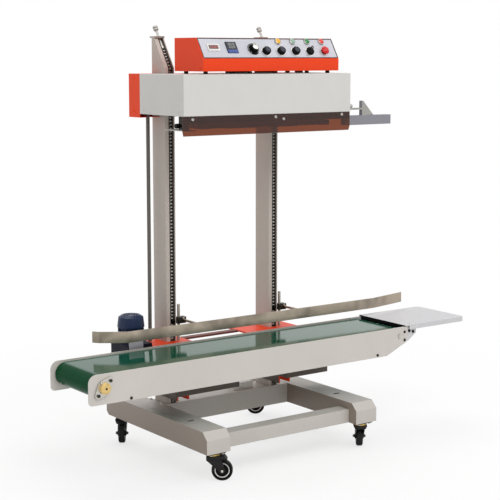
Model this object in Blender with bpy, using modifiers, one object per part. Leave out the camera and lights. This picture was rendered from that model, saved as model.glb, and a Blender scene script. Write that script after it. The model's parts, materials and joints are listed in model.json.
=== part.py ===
"""Continuous band sealer on casters: belt conveyor, two chain columns and a lifting sealing head.

Lengths are in metres. X runs along the conveyor, Y from the operator's side to the back and Z up
from the floor. Pieces are placed from the middle of the base, and the whole machine is then centred
on the footprint of its own box.
"""
import math

import bmesh
import bpy
from mathutils import Matrix, Vector

# Fits
GAP = 0.0003
RUNNING = 0.0005
OVERLAP = 0.001

# Casters
CASTER_HEIGHT = 0.105
WHEEL_RADIUS = 0.0375
WHEEL_WIDTH = 0.024
WHEEL_SIDES = 24
RIM_RADIUS = 0.027
HUB_RADIUS = 0.011
WHEEL_DISH = 0.004
WHEEL_CHAMFER = 0.004
AXLE_RADIUS = 0.005
CASTER_TRAIL = 0.032
CASTER_PLATE = 0.066
CASTER_PLATE_THICK = 0.004
SWIVEL_RADIUS = 0.023
SWIVEL_HEIGHT = 0.009
FORK_WALL = 0.003
FORK_SIDE_GAP = 0.0015
FORK_HALF_LENGTH = 0.024
FORK_EYE = 0.011
FORK_CROWN = 0.005
CASTER_INSET = 0.036
CASTER_TURNS = {"front_left": -36, "front_right": 54, "rear_left": -126, "rear_right": 144}

# Base frame
FOOT_LENGTH = 0.692
FOOT_WIDTH = 0.100
FOOT_HEIGHT = 0.078
FOOT_TRACK = 0.678
FOOT_FRONT = -0.400
FOOT_TOE = 0.027
FOOT_HEEL = 0.014
FOOT_SLOT_LENGTH = 0.030
FOOT_SLOT_WIDTH = 0.010
FOOT_SLOT_DEPTH = 0.006
FOOT_SLOT_Y = -0.222
BEAM_DEPTH = 0.100
BEAM_FRONT = 0.024
FRONT_RAIL_HEIGHT = 0.052
FRONT_RAIL_DEPTH = 0.060
FRONT_RAIL_Y = -0.358
TERMINAL_BOX = (0.090, 0.050, 0.026)
TERMINAL_BOX_X = 0.090

# Columns with a fixed lifting chain in a front slot
COLUMN_SPACING = 0.474
COLUMN_MIDDLE = -0.0205
COLUMN_WIDTH = 0.042
COLUMN_DEPTH = 0.086
COLUMN_FRONT = 0.027
COLUMN_TOP = 1.545
COLUMN_HEAD_RISE = 0.110
COLUMN_SLOPE_RUN = 0.070
COLUMN_LIP = 0.016
SLOT_WIDTH = 0.022
CAP_THICK = 0.006
CAP_LAP = 0.006
CAP_OVERHANG = 0.013
CHAIN_PITCH = 0.0127
CHAIN_WIDTH = 0.017
CHAIN_HALF = 0.006
CHAIN_WAIST = 0.0042
CHAIN_INSET = 0.008
CHAIN_SLOPE = 0.088
TENSION_ROD_RADIUS = 0.005
TENSION_ROD_END = 0.186
TENSION_NUT_RADIUS = 0.010
TENSION_NUT_LENGTH = 0.018

# Conveyor
BELT_TOP = 0.425
BELT_THICK = 0.003
BELT_SIDE_GAP = 0.004
PLATE_RISE = 0.006
PLATE_HEIGHT = 0.105
PLATE_THICK = 0.004
CONVEYOR_LEFT = -0.807
CONVEYOR_RIGHT = 0.615
CONVEYOR_FRONT = -0.320
CONVEYOR_WIDTH = 0.270
PLATE_CORNER = 0.030
PLATE_CHAMFER_X = 0.1045
PLATE_CHAMFER_Z = 0.0455
DRIVE_X = -0.751
DRIVE_RADIUS = 0.038
DRIVE_SHAFT = 0.010
TAIL_X = 0.575
TAIL_RADIUS = 0.024
TAIL_SHAFT = 0.006
TAIL_HEAD = 0.009
TAIL_HEAD_LENGTH = 0.004
BED_THICK = 0.010
BED_DRIVE_GAP = 0.050
BED_TAIL_GAP = 0.040
BEARING_RADIUS = 0.026
BEARING_EAR = 0.012
BEARING_BOLTS = 0.066
BEARING_TILT = 45
BEARING_FLANGE = 0.008
BEARING_HUB = 0.020
BEARING_LENGTH = 0.018
BOLT_HEAD = 0.0065
BOLT_HEAD_LENGTH = 0.005

# Feed table
TABLE_GAP = 0.0095
TABLE_LENGTH = 0.300
TABLE_OVERHANG = 0.004
TABLE_RISE = 0.005
TABLE_SHEET = 0.0025
TABLE_HEM = 0.018
TABLE_CORNER = 0.022
TABLE_ARM = 0.003
TABLE_ARM_REACH = 0.050
TABLE_LAP = 0.014
TABLE_ARM_DROP = 0.059

# Conveyor carrier: dark beam and orange brackets on the columns
CARRIER_DEPTH = 0.060
CARRIER_HEIGHT = 0.083
CARRIER_LEFT = -0.330
CARRIER_RIGHT = 0.385
CARRIER_NOTCH = (-0.043, 0.183)
CARRIER_NOTCH_HEIGHT = 0.032
BRACKET_TOP = 0.421
BRACKET_SHEET = 0.006
BRACKET_REAR = 0.125
BRACKET_BOTTOM = 0.210
LEFT_BRACKET_REACH = (0.1075, 0.0675)
RIGHT_BRACKET_REACH = (0.1515, 0.0935)
CROSSBAR_Y = 0.050
CROSSBAR_DEPTH = 0.030
CROSSBAR_HEIGHT = 0.0075
CONDUIT_RADIUS = 0.007
CONDUIT_OFFSET = 0.0645
CONDUIT_Y = 0.075
CONDUIT_TOP = 1.285

# Conveyor drive behind the rear plate
GEARBOX_X = -0.430
GEARBOX_WIDTH = 0.104
GEARBOX_FRONT = -0.030
GEARBOX_DEPTH = 0.120
GEARBOX_BOTTOM = 0.320
GEARBOX_TOP = 0.440
SHELF_THICK = 0.0095
SHELF_LEG = 0.030
SHELF_LEG_THICK = 0.005
MOTOR_X = -0.420
MOTOR_Y = 0.050
MOTOR_RADIUS = 0.044
COWL_RADIUS = 0.050
COWL_BOTTOM = 0.492
MOTOR_TOP = 0.538
SPROCKET_RADIUS = 0.030
SPROCKET_WIDTH = 0.006
SPROCKET_Y = -0.040
STUB_RADIUS = 0.009
STUB_LENGTH = 0.020
DRIVE_CHAIN_WIDTH = 0.009
DRIVE_CHAIN_THICK = 0.008

# Bag guide rail
RAIL_Y = -0.090
RAIL_BOTTOM = 0.467
RAIL_HEIGHT = 0.041
RAIL_THICK = 0.003
RAIL_STRAIGHT = (-0.517, 0.637)
RAIL_LEFT_FLARE = (0.083, 0.058)
RAIL_RIGHT_FLARE = (0.188, 0.040)
RAIL_RETURN = (0.016, 0.022)
POST_OFFSET = 0.0335
POST_Y = 0.030
POST_RADIUS = 0.0055
POST_TOP = 0.5586
ROD_RADIUS = 0.005
ROD_OFFSET = 0.016
ROD_Z = 0.498
ROD_END = 0.075
CLAMP_HALF = 0.012
CLAMP_WALL = 0.006

# Sealing head shells
COVER_LEFT = -0.3666
COVER_LENGTH = 0.7515
COVER_FRONT = -0.2333
COVER_REAR = 0.0569
COVER_BOTTOM = 1.271
COVER_TOP = 1.4156
HEAD_SHEET = 0.002
HOUSING_DEPTH = 0.0761
HOUSING_DROP = 0.0136
COLUMN_NOTCH = 0.004
CARRIAGE_WALL = 0.0145
CARRIAGE_BOTTOM = 1.300
CARRIAGE_TOP = 1.380
CARRIAGE_FRONT = 0.062
BASE_THICK = 0.008
BASE_REAR = 0.020
FLANGE_DROP = 0.026
FLANGE_THICK = 0.003
GUARD_LEFT = -0.372
GUARD_RIGHT = 0.3814
GUARD_BOTTOM = 1.203
GUARD_BEND = 1.220
GUARD_THICK = 0.003
GUARD_LIP = 0.006
GUARD_CHAMFER = (0.0106, 0.0164)

# Lift drive in the head
SPROCKET_TIP = 0.028
SPROCKET_ROOT = 0.021
SPROCKET_TEETH = 12
LIFT_SPROCKET_WIDTH = 0.007
CHAIN_CLEARANCE = 0.0005
LIFT_SHAFT_RADIUS = 0.008
LIFT_SHAFT_Z = 1.360
PILLAR_THICK = 0.012
PILLAR_HALF = 0.018
PILLAR_OUT = 0.030
LIFT_GEARBOX_X = -0.030
LIFT_GEARBOX_WIDTH = 0.060
LIFT_GEARBOX_HALF = 0.030
LIFT_MOTOR_RADIUS = 0.034
LIFT_MOTOR_LENGTH = 0.095
BAND_MOTOR_X = 0.200
BAND_MOTOR_Y = -0.110
BAND_MOTOR_RADIUS = 0.038
BAND_MOTOR_HEIGHT = 0.110

# Sealing bands
SEAL_Y = -0.176
SEAL_HALF_GAP = 0.0005
BAND_THICK = 0.001
BAND_HEIGHT = 0.015
BAND_Z = 1.234
BAND_WHEEL_RADIUS = 0.026
BAND_WHEEL_WIDTH = 0.018
BAND_WHEEL_X = 0.270
BAND_SHAFT = 0.006
BAND_NUT = 0.010
BAND_NUT_HEIGHT = 0.007
SEAL_BAR_HALF = 0.160
SEAL_BAR_SPLIT = 0.012
SEAL_BAR_DEPTH = 0.018
SEAL_BAR_RUN = 0.0012
SEAL_BAR_BOTTOM = 1.222
SEAL_BAR_BRIDGE = 0.012
END_PLATE_X = -0.350
END_PLATE_THICK = 0.006
END_PLATE_DEPTH = 0.056
END_PLATE_BOTTOM = 1.222
KNOB_Y = -0.190
KNOB_Z = 1.237
KNOB_RADIUS = 0.009
KNOB_LENGTH = 0.016
KNOB_SHAFT = 0.004
KNOB_STANDOFF = 0.006

# Infeed guide on the right end of the head
INFEED_RIGHT = 0.626
INFEED_BOTTOM = 1.217
INFEED_HEIGHT = 0.036
INFEED_DEPTH = 0.032
INFEED_SLOT = 0.012
INFEED_ROOF = 0.006
INFEED_PLATE_X = 0.398
INFEED_PLATE = 0.006
INFEED_ARM_Z = 1.275
INFEED_ARM = 0.007
INFEED_TAB = 0.035
INFEED_TAB_THICK = 0.003
GUSSET_LEFT = 0.479
GUSSET_RIGHT = 0.540
GUSSET_TOP = 1.309
GUSSET_DEPTH = 0.018
DOME_RADIUS = 0.012
DOME_HEIGHT = 0.016
DOME_X = 0.424

# Control box on the cover
BOX_LEFT = -0.265
BOX_LENGTH = 0.614
BOX_FRONT = -0.205
BOX_DEPTH = 0.185
BOX_STANDOFF = 0.0094
BOX_STRIP = 0.043
BOX_HEIGHT = 0.1185
BOX_SLOPE_RUN = 0.048
BOX_FOOT_RADIUS = 0.008
BOX_FOOT_INSET = 0.030
BOX_RIM = 0.010
PANEL_MARGIN = 0.004
PANEL_SHEET = 0.0025
DISPLAY = (0.050, 0.028, 0.003)
CONTROLLER = (0.046, 0.046, 0.003)
DISPLAY_INSET = 0.058
STOP_INSET = 0.0595
CONTROL_STEPS = (0.079, 0.093, 0.0545, 0.0675, 0.0675, 0.0675, 0.0675)
METER_UP = 0.046
DIAL_UP = 0.040
DIAL_SCALE = 0.024
DIAL_SCALE_THICK = 0.0012
DIAL_RADIUS = 0.016
DIAL_HEIGHT = 0.018
SWITCH_UP = 0.031
SWITCH_RADIUS = 0.0165
SWITCH_HEIGHT = 0.015
LEVER_LENGTH = 0.040
LEVER_WIDTH = 0.009
LEVER_TURN = -40
STOP_RADIUS = 0.016
STOP_NECK = 0.009
STOP_TRAVEL = 0.005
STOP_CAP = 0.009
STOP_DEPTH = 0.012
LAMP_RADIUS = 0.0105
LAMP_HEIGHT = 0.006
LAMP_UP = 0.072

# Places worked out from the sizes above
FOOT_TOP = CASTER_HEIGHT + FOOT_HEIGHT
COLUMN_X = {"left": COLUMN_MIDDLE - COLUMN_SPACING / 2, "right": COLUMN_MIDDLE + COLUMN_SPACING / 2}
COLUMN_BEND = COLUMN_TOP - COLUMN_HEAD_RISE
SLOT_X = -COLUMN_WIDTH / 2 + COLUMN_LIP + SLOT_WIDTH / 2
SLOT_DEPTH = CHAIN_INSET + CHAIN_HALF + GAP
CONVEYOR_REAR = CONVEYOR_FRONT + CONVEYOR_WIDTH
CONVEYOR_MIDDLE = CONVEYOR_FRONT + CONVEYOR_WIDTH / 2
PLATE_TOP = BELT_TOP + PLATE_RISE
PLATE_BOTTOM = PLATE_TOP - PLATE_HEIGHT
INNER_WIDTH = CONVEYOR_WIDTH - 2 * PLATE_THICK
BELT_WIDTH = INNER_WIDTH - 2 * BELT_SIDE_GAP
DRIVE_Z = BELT_TOP - BELT_THICK - DRIVE_RADIUS
TAIL_Z = BELT_TOP - BELT_THICK - TAIL_RADIUS
COVER_RIGHT = COVER_LEFT + COVER_LENGTH
BASE_BOTTOM = COVER_BOTTOM + GAP
BASE_TOP = BASE_BOTTOM + BASE_THICK
BASE_FRONT = COVER_FRONT + HEAD_SHEET + GAP
FRONT_WHEEL_Y = SEAL_Y - SEAL_HALF_GAP - BAND_THICK - GAP - BAND_WHEEL_RADIUS
REAR_WHEEL_Y = SEAL_Y + SEAL_HALF_GAP + BAND_THICK + GAP + BAND_WHEEL_RADIUS
LIFT_SHAFT_Y = COLUMN_FRONT + CHAIN_INSET - CHAIN_HALF - CHAIN_CLEARANCE - SPROCKET_TIP
BOX_BOTTOM = COVER_TOP + BOX_STANDOFF
PANEL_FOOT = BOX_BOTTOM + BOX_STRIP
PANEL_RISE = BOX_HEIGHT - BOX_STRIP
PANEL_TILT = math.atan2(PANEL_RISE, BOX_SLOPE_RUN)
PANEL_LENGTH = math.hypot(PANEL_RISE, BOX_SLOPE_RUN)
BOX_MIDDLE = BOX_LEFT + BOX_LENGTH / 2

FINISHES = {
    "cream_paint": ((0.58, 0.55, 0.51), 0.45, 0.0),
    "grey_paint": ((0.60, 0.59, 0.57), 0.45, 0.0),
    "orange_paint": ((0.80, 0.07, 0.02), 0.40, 0.0),
    "column_paint": ((0.42, 0.37, 0.35), 0.50, 0.0),
    "dark_steel": ((0.06, 0.05, 0.045), 0.50, 0.8),
    "bright_steel": ((0.62, 0.60, 0.58), 0.30, 1.0),
    "black_plastic": ((0.02, 0.02, 0.02), 0.40, 0.0),
    "black_rubber": ((0.025, 0.025, 0.025), 0.70, 0.0),
    "green_belt": ((0.01, 0.065, 0.035), 0.15, 0.0),
    "navy_paint": ((0.013, 0.035, 0.098), 0.40, 0.0),
    "brown_acrylic": ((0.19, 0.042, 0.01), 0.10, 0.0),
    "brass": ((0.70, 0.55, 0.25), 0.30, 1.0),
    "white_glass_tape": ((0.70, 0.68, 0.62), 0.60, 0.0),
    "panel_grey": ((0.62, 0.62, 0.64), 0.40, 0.0),
    "red_plastic": ((0.70, 0.02, 0.02), 0.35, 0.0),
}


def finish(name):
    """The named finish as a material."""
    if name in bpy.data.materials:
        return bpy.data.materials[name]
    colour, roughness, metallic = FINISHES[name]
    material = bpy.data.materials.new(name)
    material.use_nodes = True
    shader = material.node_tree.nodes["Principled BSDF"]
    shader.inputs["Base Color"].default_value = (*colour, 1)
    shader.inputs["Roughness"].default_value = roughness
    shader.inputs["Metallic"].default_value = metallic
    return material


def settled(obj):
    """The evaluated mesh of a working object, welded and facing outwards; the object is removed."""
    bpy.context.view_layer.update()
    depsgraph = bpy.context.evaluated_depsgraph_get()
    mesh = bpy.data.meshes.new_from_object(obj.evaluated_get(depsgraph))
    bpy.data.objects.remove(obj, do_unlink=True)
    shape = bmesh.new()
    shape.from_mesh(mesh)
    bmesh.ops.remove_doubles(shape, verts=shape.verts, dist=1e-6)
    bmesh.ops.recalc_face_normals(shape, faces=shape.faces)
    shape.to_mesh(mesh)
    shape.free()
    return mesh


def working(data):
    """A working object, kept with the cutters, for a mesh or curve."""
    obj = bpy.data.objects.new("working", data)
    obj.hide_render = True
    obj.display_type = "WIRE"
    cutters.objects.link(obj)
    return obj


def from_bmesh(shape):
    """A mesh from a bmesh, which is freed."""
    mesh = bpy.data.meshes.new("shape")
    shape.to_mesh(mesh)
    shape.free()
    return mesh


def box(low, high):
    """A box between two corners."""
    low, high = Vector(low), Vector(high)
    shape = bmesh.new()
    bmesh.ops.create_cube(shape, size=1)
    bmesh.ops.scale(shape, vec=high - low, verts=shape.verts)
    bmesh.ops.translate(shape, vec=(low + high) / 2, verts=shape.verts)
    return from_bmesh(shape)


def bar(radius, start, end, sides=16):
    """A round bar between two points."""
    start, end = Vector(start), Vector(end)
    shape = bmesh.new()
    bmesh.ops.create_cone(shape, cap_ends=True, segments=sides, radius1=radius, radius2=radius,
                          depth=(end - start).length)
    turn = (end - start).to_track_quat("Z", "Y").to_matrix().to_4x4()
    bmesh.ops.transform(shape, matrix=Matrix.Translation((start + end) / 2) @ turn, verts=shape.verts)
    return from_bmesh(shape)


def plate(loops, axis, start, end):
    """A flat plate across an axis: its outline and holes are (X, Z) loops on Y, (Y, Z) on X or (X, Y) on Z."""
    curve = bpy.data.curves.new("outline", "CURVE")
    curve.dimensions = "2D"
    curve.fill_mode = "BOTH"
    curve.extrude = abs(end - start) / 2
    for loop in loops:
        spline = curve.splines.new("POLY")
        spline.points.add(len(loop) - 1)
        spline.use_cyclic_u = True
        for point, (across, up) in zip(spline.points, loop):
            point.co = (across, up, 0, 1)
    mesh = settled(working(curve))
    middle = (start + end) / 2
    turns = {
        "x": Matrix(((0, 0, 1, middle), (1, 0, 0, 0), (0, 1, 0, 0), (0, 0, 0, 1))),
        "y": Matrix(((1, 0, 0, 0), (0, 0, -1, middle), (0, 1, 0, 0), (0, 0, 0, 1))),
        "z": Matrix.Translation((0, 0, middle)),
    }
    mesh.transform(turns[axis])
    return mesh


def turned(profile, sides, ring=False):
    """A shape turned about Z from (radius, height) points that run down its outer side."""
    mesh = bpy.data.meshes.new("profile")
    count = len(profile)
    edges = [(i, i + 1) for i in range(count - 1)]
    if ring:
        edges.append((count - 1, 0))
    mesh.from_pydata([(radius, 0, height) for radius, height in profile], edges, [])
    obj = working(mesh)
    screw = obj.modifiers.new("turn", "SCREW")
    screw.steps = sides
    screw.render_steps = sides
    screw.use_merge_vertices = True
    screw.merge_threshold = 0.00001
    result = settled(obj)
    result.transform(Matrix.Rotation(math.pi / sides, 4, "Z"))
    return result


def combined(base, tools, operation):
    """A mesh with the tool meshes joined to it (UNION) or cut from it (DIFFERENCE)."""
    target = working(base)
    helpers = []
    for tool in tools:
        helper = working(tool)
        helpers.append(helper)
        step = target.modifiers.new("step", "BOOLEAN")
        step.operation = operation
        step.solver = "EXACT"
        step.object = helper
    result = settled(target)
    for helper in helpers:
        bpy.data.objects.remove(helper, do_unlink=True)
    return result


def joined(*meshes):
    """One body from meshes that overlap."""
    return combined(meshes[0], meshes[1:], "UNION")


def cut(mesh, *tools):
    """A mesh with tools taken out of it."""
    return combined(mesh, tools, "DIFFERENCE")


def part(name, mesh, look, at=(0, 0, 0), turn=(0, 0, 0), parent=None, smooth=False):
    """A named piece with its finish."""
    mesh.name = name
    mesh.materials.clear()
    mesh.materials.append(finish(look))
    if smooth:
        mesh.shade_smooth()
        mesh.set_sharp_from_angle(angle=math.radians(35))
    obj = bpy.data.objects.new(name, mesh)
    obj.location = at
    obj.rotation_euler = turn
    obj.parent = parent or machine
    parts.objects.link(obj)
    return obj


def arc(centre, radius, start, end, steps=8):
    """Points on an arc, with its angles in degrees."""
    angles = [math.radians(start + (end - start) * i / steps) for i in range(steps + 1)]
    return [(centre[0] + radius * math.cos(a), centre[1] + radius * math.sin(a)) for a in angles]


def belt_loop(first, radius, second, far_radius, steps=24):
    """The closed line of a belt round two wheels, given as (across, up) centres."""
    run = Vector(second) - Vector(first)
    lean = math.degrees(math.atan2(run.y, run.x))
    wrap = math.degrees(math.acos((radius - far_radius) / run.length))
    far = arc(second, far_radius, lean - wrap, lean + wrap, steps)
    near = arc(first, radius, lean + wrap, lean - wrap + 360, steps)
    return far + near


def ribbon(path, thick):
    """The outline of a strip that follows a line of points, mitred at its bends."""
    points = [Vector(p) for p in path]
    sides = []
    for i, point in enumerate(points):
        before = (point - points[i - 1]).normalized() if i else (points[1] - point).normalized()
        after = (points[i + 1] - point).normalized() if i + 1 < len(points) else before
        normal = Vector((-before.y - after.y, before.x + after.x)).normalized()
        reach = thick / 2 / normal.dot(Vector((-before.y, before.x)))
        sides.append((point + normal * reach, point - normal * reach))
    return [tuple(s[0]) for s in sides] + [tuple(s[1]) for s in reversed(sides)]


def slope_line(inset):
    """A column's front line at a depth behind its face: foot, bend and top as (Y, Z)."""
    along = Vector((COLUMN_SLOPE_RUN, COLUMN_TOP - COLUMN_BEND)).normalized()
    bend = Vector((COLUMN_FRONT + inset, COLUMN_BEND - inset * (1 - along.y) / along.x))
    foot = Vector((COLUMN_FRONT + inset, FOOT_TOP + GAP))
    return foot, bend, along


def casters():
    """Four swivel casters: a fork that turns under its foot and a wheel on the fork's axle."""
    ring_top = CASTER_HEIGHT - CASTER_PLATE_THICK - GAP
    fork_top = ring_top - SWIVEL_HEIGHT
    half = WHEEL_WIDTH / 2 + FORK_SIDE_GAP
    eye = arc((CASTER_TRAIL, WHEEL_RADIUS), FORK_EYE, 20, -170, 8)
    leg = [(-FORK_HALF_LENGTH, fork_top - 0.016), (-FORK_HALF_LENGTH, fork_top),
           (FORK_HALF_LENGTH, fork_top), *eye]
    outer = WHEEL_RADIUS / math.cos(math.pi / WHEEL_SIDES)
    side, dish = WHEEL_WIDTH / 2, WHEEL_WIDTH / 2 - WHEEL_DISH
    bore = AXLE_RADIUS + RUNNING
    shoulder = side - WHEEL_CHAMFER
    profile = [(outer, shoulder), (outer, -shoulder), (outer - WHEEL_CHAMFER, -side), (RIM_RADIUS, -side),
               (RIM_RADIUS, -dish), (HUB_RADIUS, -dish), (HUB_RADIUS, -side), (bore, -side), (bore, side),
               (HUB_RADIUS, side), (HUB_RADIUS, dish), (RIM_RADIUS, dish), (RIM_RADIUS, side),
               (outer - WHEEL_CHAMFER, side)]
    for name, (x, y) in caster_places().items():
        fork = joined(
            bar(SWIVEL_RADIUS, (0, 0, fork_top - OVERLAP), (0, 0, ring_top), 20),
            box((-FORK_HALF_LENGTH, -half - FORK_WALL, fork_top - FORK_CROWN),
                (FORK_HALF_LENGTH, half + FORK_WALL, fork_top)),
            plate([leg], "y", -half - FORK_WALL, -half),
            plate([leg], "y", half, half + FORK_WALL),
            bar(AXLE_RADIUS, (CASTER_TRAIL, -half - FORK_WALL - 0.003, WHEEL_RADIUS),
                (CASTER_TRAIL, half + FORK_WALL + 0.003, WHEEL_RADIUS), 12))
        turn = math.radians(CASTER_TURNS[name])
        swivel = part(name + "_fork", fork, "black_plastic", (x, y, 0), (0, 0, turn))
        part(name + "_wheel", turned(profile, WHEEL_SIDES, ring=True), "black_rubber",
             (CASTER_TRAIL, 0, WHEEL_RADIUS), (math.pi / 2, 0, 0), swivel, smooth=True)


def caster_places():
    """Each caster's swivel axis, (X, Y)."""
    front = FOOT_FRONT + CASTER_INSET
    rear = FOOT_FRONT + FOOT_LENGTH - CASTER_INSET
    side = FOOT_TRACK / 2
    return {"front_left": (-side, front), "front_right": (side, front),
            "rear_left": (-side, rear), "rear_right": (side, rear)}


def base():
    """Two feet with their caster plates, the rear beam with its terminal box, and the front rail."""
    rear = FOOT_FRONT + FOOT_LENGTH
    outline = [(FOOT_FRONT, CASTER_HEIGHT), (rear - FOOT_HEEL, CASTER_HEIGHT), (rear, CASTER_HEIGHT + FOOT_HEEL),
               (rear, FOOT_TOP), (FOOT_FRONT + FOOT_TOE, FOOT_TOP), (FOOT_FRONT, FOOT_TOP - FOOT_TOE)]
    slot_end = FOOT_SLOT_WIDTH / 2
    reach = FOOT_SLOT_LENGTH / 2 - slot_end
    slot = arc((reach, FOOT_SLOT_Y), slot_end, -90, 90, 6) + arc((-reach, FOOT_SLOT_Y), slot_end, 90, 270, 6)
    for name, side in (("left", -1), ("right", 1)):
        plates = []
        for place in (FOOT_FRONT + CASTER_INSET, rear - CASTER_INSET):
            half = CASTER_PLATE / 2
            plates.append(box((-half, place - half, CASTER_HEIGHT - CASTER_PLATE_THICK),
                              (half, place + half, CASTER_HEIGHT + OVERLAP)))
        foot = joined(plate([outline], "x", -FOOT_WIDTH / 2, FOOT_WIDTH / 2), *plates)
        foot = cut(foot, plate([slot], "z", FOOT_TOP - FOOT_SLOT_DEPTH, FOOT_TOP + OVERLAP))
        part(name + "_foot", foot, "cream_paint", (side * FOOT_TRACK / 2, 0, 0))
    inner = FOOT_TRACK / 2 - FOOT_WIDTH / 2 - GAP
    length, depth, height = TERMINAL_BOX
    box_front = BEAM_FRONT + (BEAM_DEPTH - depth) / 2
    beam = joined(
        box((-inner, BEAM_FRONT, CASTER_HEIGHT), (inner, BEAM_FRONT + BEAM_DEPTH, FOOT_TOP)),
        box((TERMINAL_BOX_X - length / 2, box_front, FOOT_TOP - OVERLAP),
            (TERMINAL_BOX_X + length / 2, box_front + depth, FOOT_TOP + height)))
    part("rear_beam", beam, "cream_paint")
    rail = box((-inner, FRONT_RAIL_Y, CASTER_HEIGHT),
               (inner, FRONT_RAIL_Y + FRONT_RAIL_DEPTH, CASTER_HEIGHT + FRONT_RAIL_HEIGHT))
    part("front_rail", rail, "cream_paint")


def columns():
    """Two slotted columns with sloped heads, each with a fixed chain and its tension rod in the slot."""
    foot_z = FOOT_TOP + GAP
    rear = COLUMN_FRONT + COLUMN_DEPTH
    outline = [(COLUMN_FRONT, foot_z), (rear, foot_z), (rear, COLUMN_TOP),
               (COLUMN_FRONT + COLUMN_SLOPE_RUN, COLUMN_TOP), (COLUMN_FRONT, COLUMN_BEND)]
    _, bend, along = slope_line(SLOT_DEPTH)
    _, front_bend, _ = slope_line(-0.010)
    far = 0.200
    groove = [(front_bend.x, foot_z - OVERLAP), tuple(front_bend), tuple(front_bend + along * far),
              tuple(bend + along * far), tuple(bend), (bend.x, foot_z - OVERLAP)]
    _, chain_bend, _ = slope_line(CHAIN_INSET)
    rod_start = chain_bend + along * (CHAIN_SLOPE - OVERLAP)
    rod_end = chain_bend + along * TENSION_ROD_END
    nut_start = rod_end - along * TENSION_NUT_LENGTH
    for name, x in COLUMN_X.items():
        body = plate([outline], "x", -COLUMN_WIDTH / 2, COLUMN_WIDTH / 2)
        body = cut(body, plate([groove], "x", SLOT_X - SLOT_WIDTH / 2, SLOT_X + SLOT_WIDTH / 2))
        body = joined(body, box((-COLUMN_WIDTH / 2, COLUMN_FRONT + COLUMN_SLOPE_RUN - CAP_LAP, COLUMN_TOP - OVERLAP),
                                (COLUMN_WIDTH / 2, rear + CAP_OVERHANG, COLUMN_TOP + CAP_THICK)))
        hole = bar(TENSION_ROD_RADIUS + RUNNING, (SLOT_X, *rod_start), (SLOT_X, *(rod_end + along * 0.02)))
        part(name + "_column", cut(body, hole), "column_paint", (x, 0, 0))
        chain = joined(
            plate([chain_outline()], "x", -CHAIN_WIDTH / 2, CHAIN_WIDTH / 2),
            bar(TENSION_ROD_RADIUS, (0, *rod_start), (0, *rod_end), 12),
            bar(TENSION_NUT_RADIUS, (0, *nut_start), (0, *(rod_end - along * 0.002)), 6))
        part(name + "_lift_chain", chain, "dark_steel", (x + SLOT_X, 0, 0))


def chain_outline():
    """The side outline of a roller chain: wide at each pin and narrow between pins."""
    foot, bend, along = slope_line(CHAIN_INSET)
    straight = bend.y - foot.y
    halves = int((straight + CHAIN_SLOPE) / (CHAIN_PITCH / 2))
    start = straight + CHAIN_SLOPE - halves * CHAIN_PITCH / 2
    front, back = [], []
    for i in range(halves + 1):
        reach = start + i * CHAIN_PITCH / 2
        half = CHAIN_HALF if i % 2 == 0 else CHAIN_WAIST
        if reach <= straight:
            point, normal = Vector((foot.x, foot.y + reach)), Vector((1, 0))
        else:
            point, normal = bend + along * (reach - straight), Vector((along.y, -along.x))
        back.append(tuple(point + normal * half))
        front.append(tuple(point - normal * half))
    return back + front[::-1]


def conveyor():
    """Side plates, slider bed, belt, rollers, axle and bearing."""
    chamfer = [(CONVEYOR_RIGHT, PLATE_BOTTOM + PLATE_CHAMFER_Z),
               (CONVEYOR_RIGHT - PLATE_CHAMFER_X, PLATE_BOTTOM)]
    upper = arc((CONVEYOR_LEFT + PLATE_CORNER, PLATE_TOP - PLATE_CORNER), PLATE_CORNER, 180, 90)
    lower = arc((CONVEYOR_LEFT + PLATE_CORNER / 2, PLATE_BOTTOM + PLATE_CORNER / 2), PLATE_CORNER / 2, 270, 180)
    outline = [*upper, (CONVEYOR_RIGHT, PLATE_TOP), *chamfer, *lower]
    drive_hole = arc((DRIVE_X, DRIVE_Z), DRIVE_SHAFT + RUNNING, 0, 345, 23)
    tail_hole = arc((TAIL_X, TAIL_Z), TAIL_SHAFT + GAP, 0, 345, 23)
    for name, start in (("front_plate", CONVEYOR_FRONT), ("rear_plate", CONVEYOR_REAR - PLATE_THICK)):
        part(name, plate([outline, drive_hole, tail_hole], "y", start, start + PLATE_THICK), "cream_paint")
    under_belt = BELT_TOP - BELT_THICK - GAP
    side = INNER_WIDTH / 2 - GAP
    part("slider_bed", box((DRIVE_X + BED_DRIVE_GAP, CONVEYOR_MIDDLE - side, under_belt - BED_THICK),
                           (TAIL_X - BED_TAIL_GAP, CONVEYOR_MIDDLE + side, under_belt)), "bright_steel")
    first, second = (DRIVE_X, DRIVE_Z), (TAIL_X, TAIL_Z)
    loops = [belt_loop(first, DRIVE_RADIUS + grow, second, TAIL_RADIUS + grow) for grow in (BELT_THICK, GAP)]
    half = BELT_WIDTH / 2
    part("conveyor_belt", plate(loops, "y", CONVEYOR_MIDDLE - half, CONVEYOR_MIDDLE + half), "green_belt",
         smooth=True)
    drive_roller(half)
    head_out = CONVEYOR_WIDTH / 2 + GAP
    axle = joined(bar(TAIL_SHAFT, (0, -head_out - OVERLAP, 0), (0, head_out + OVERLAP, 0)),
                  *[bar(TAIL_HEAD, (0, s * head_out, 0), (0, s * (head_out + TAIL_HEAD_LENGTH), 0), 6)
                    for s in (-1, 1)])
    part("tail_axle", axle, "bright_steel", (TAIL_X, CONVEYOR_MIDDLE, TAIL_Z))
    tail = [(TAIL_RADIUS, half), (TAIL_RADIUS, -half), (TAIL_SHAFT + RUNNING, -half), (TAIL_SHAFT + RUNNING, half)]
    part("tail_roller", turned(tail, 24, ring=True), "bright_steel", (TAIL_X, CONVEYOR_MIDDLE, TAIL_Z),
         (-math.pi / 2, 0, 0), smooth=True)
    front_bearing()


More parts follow.
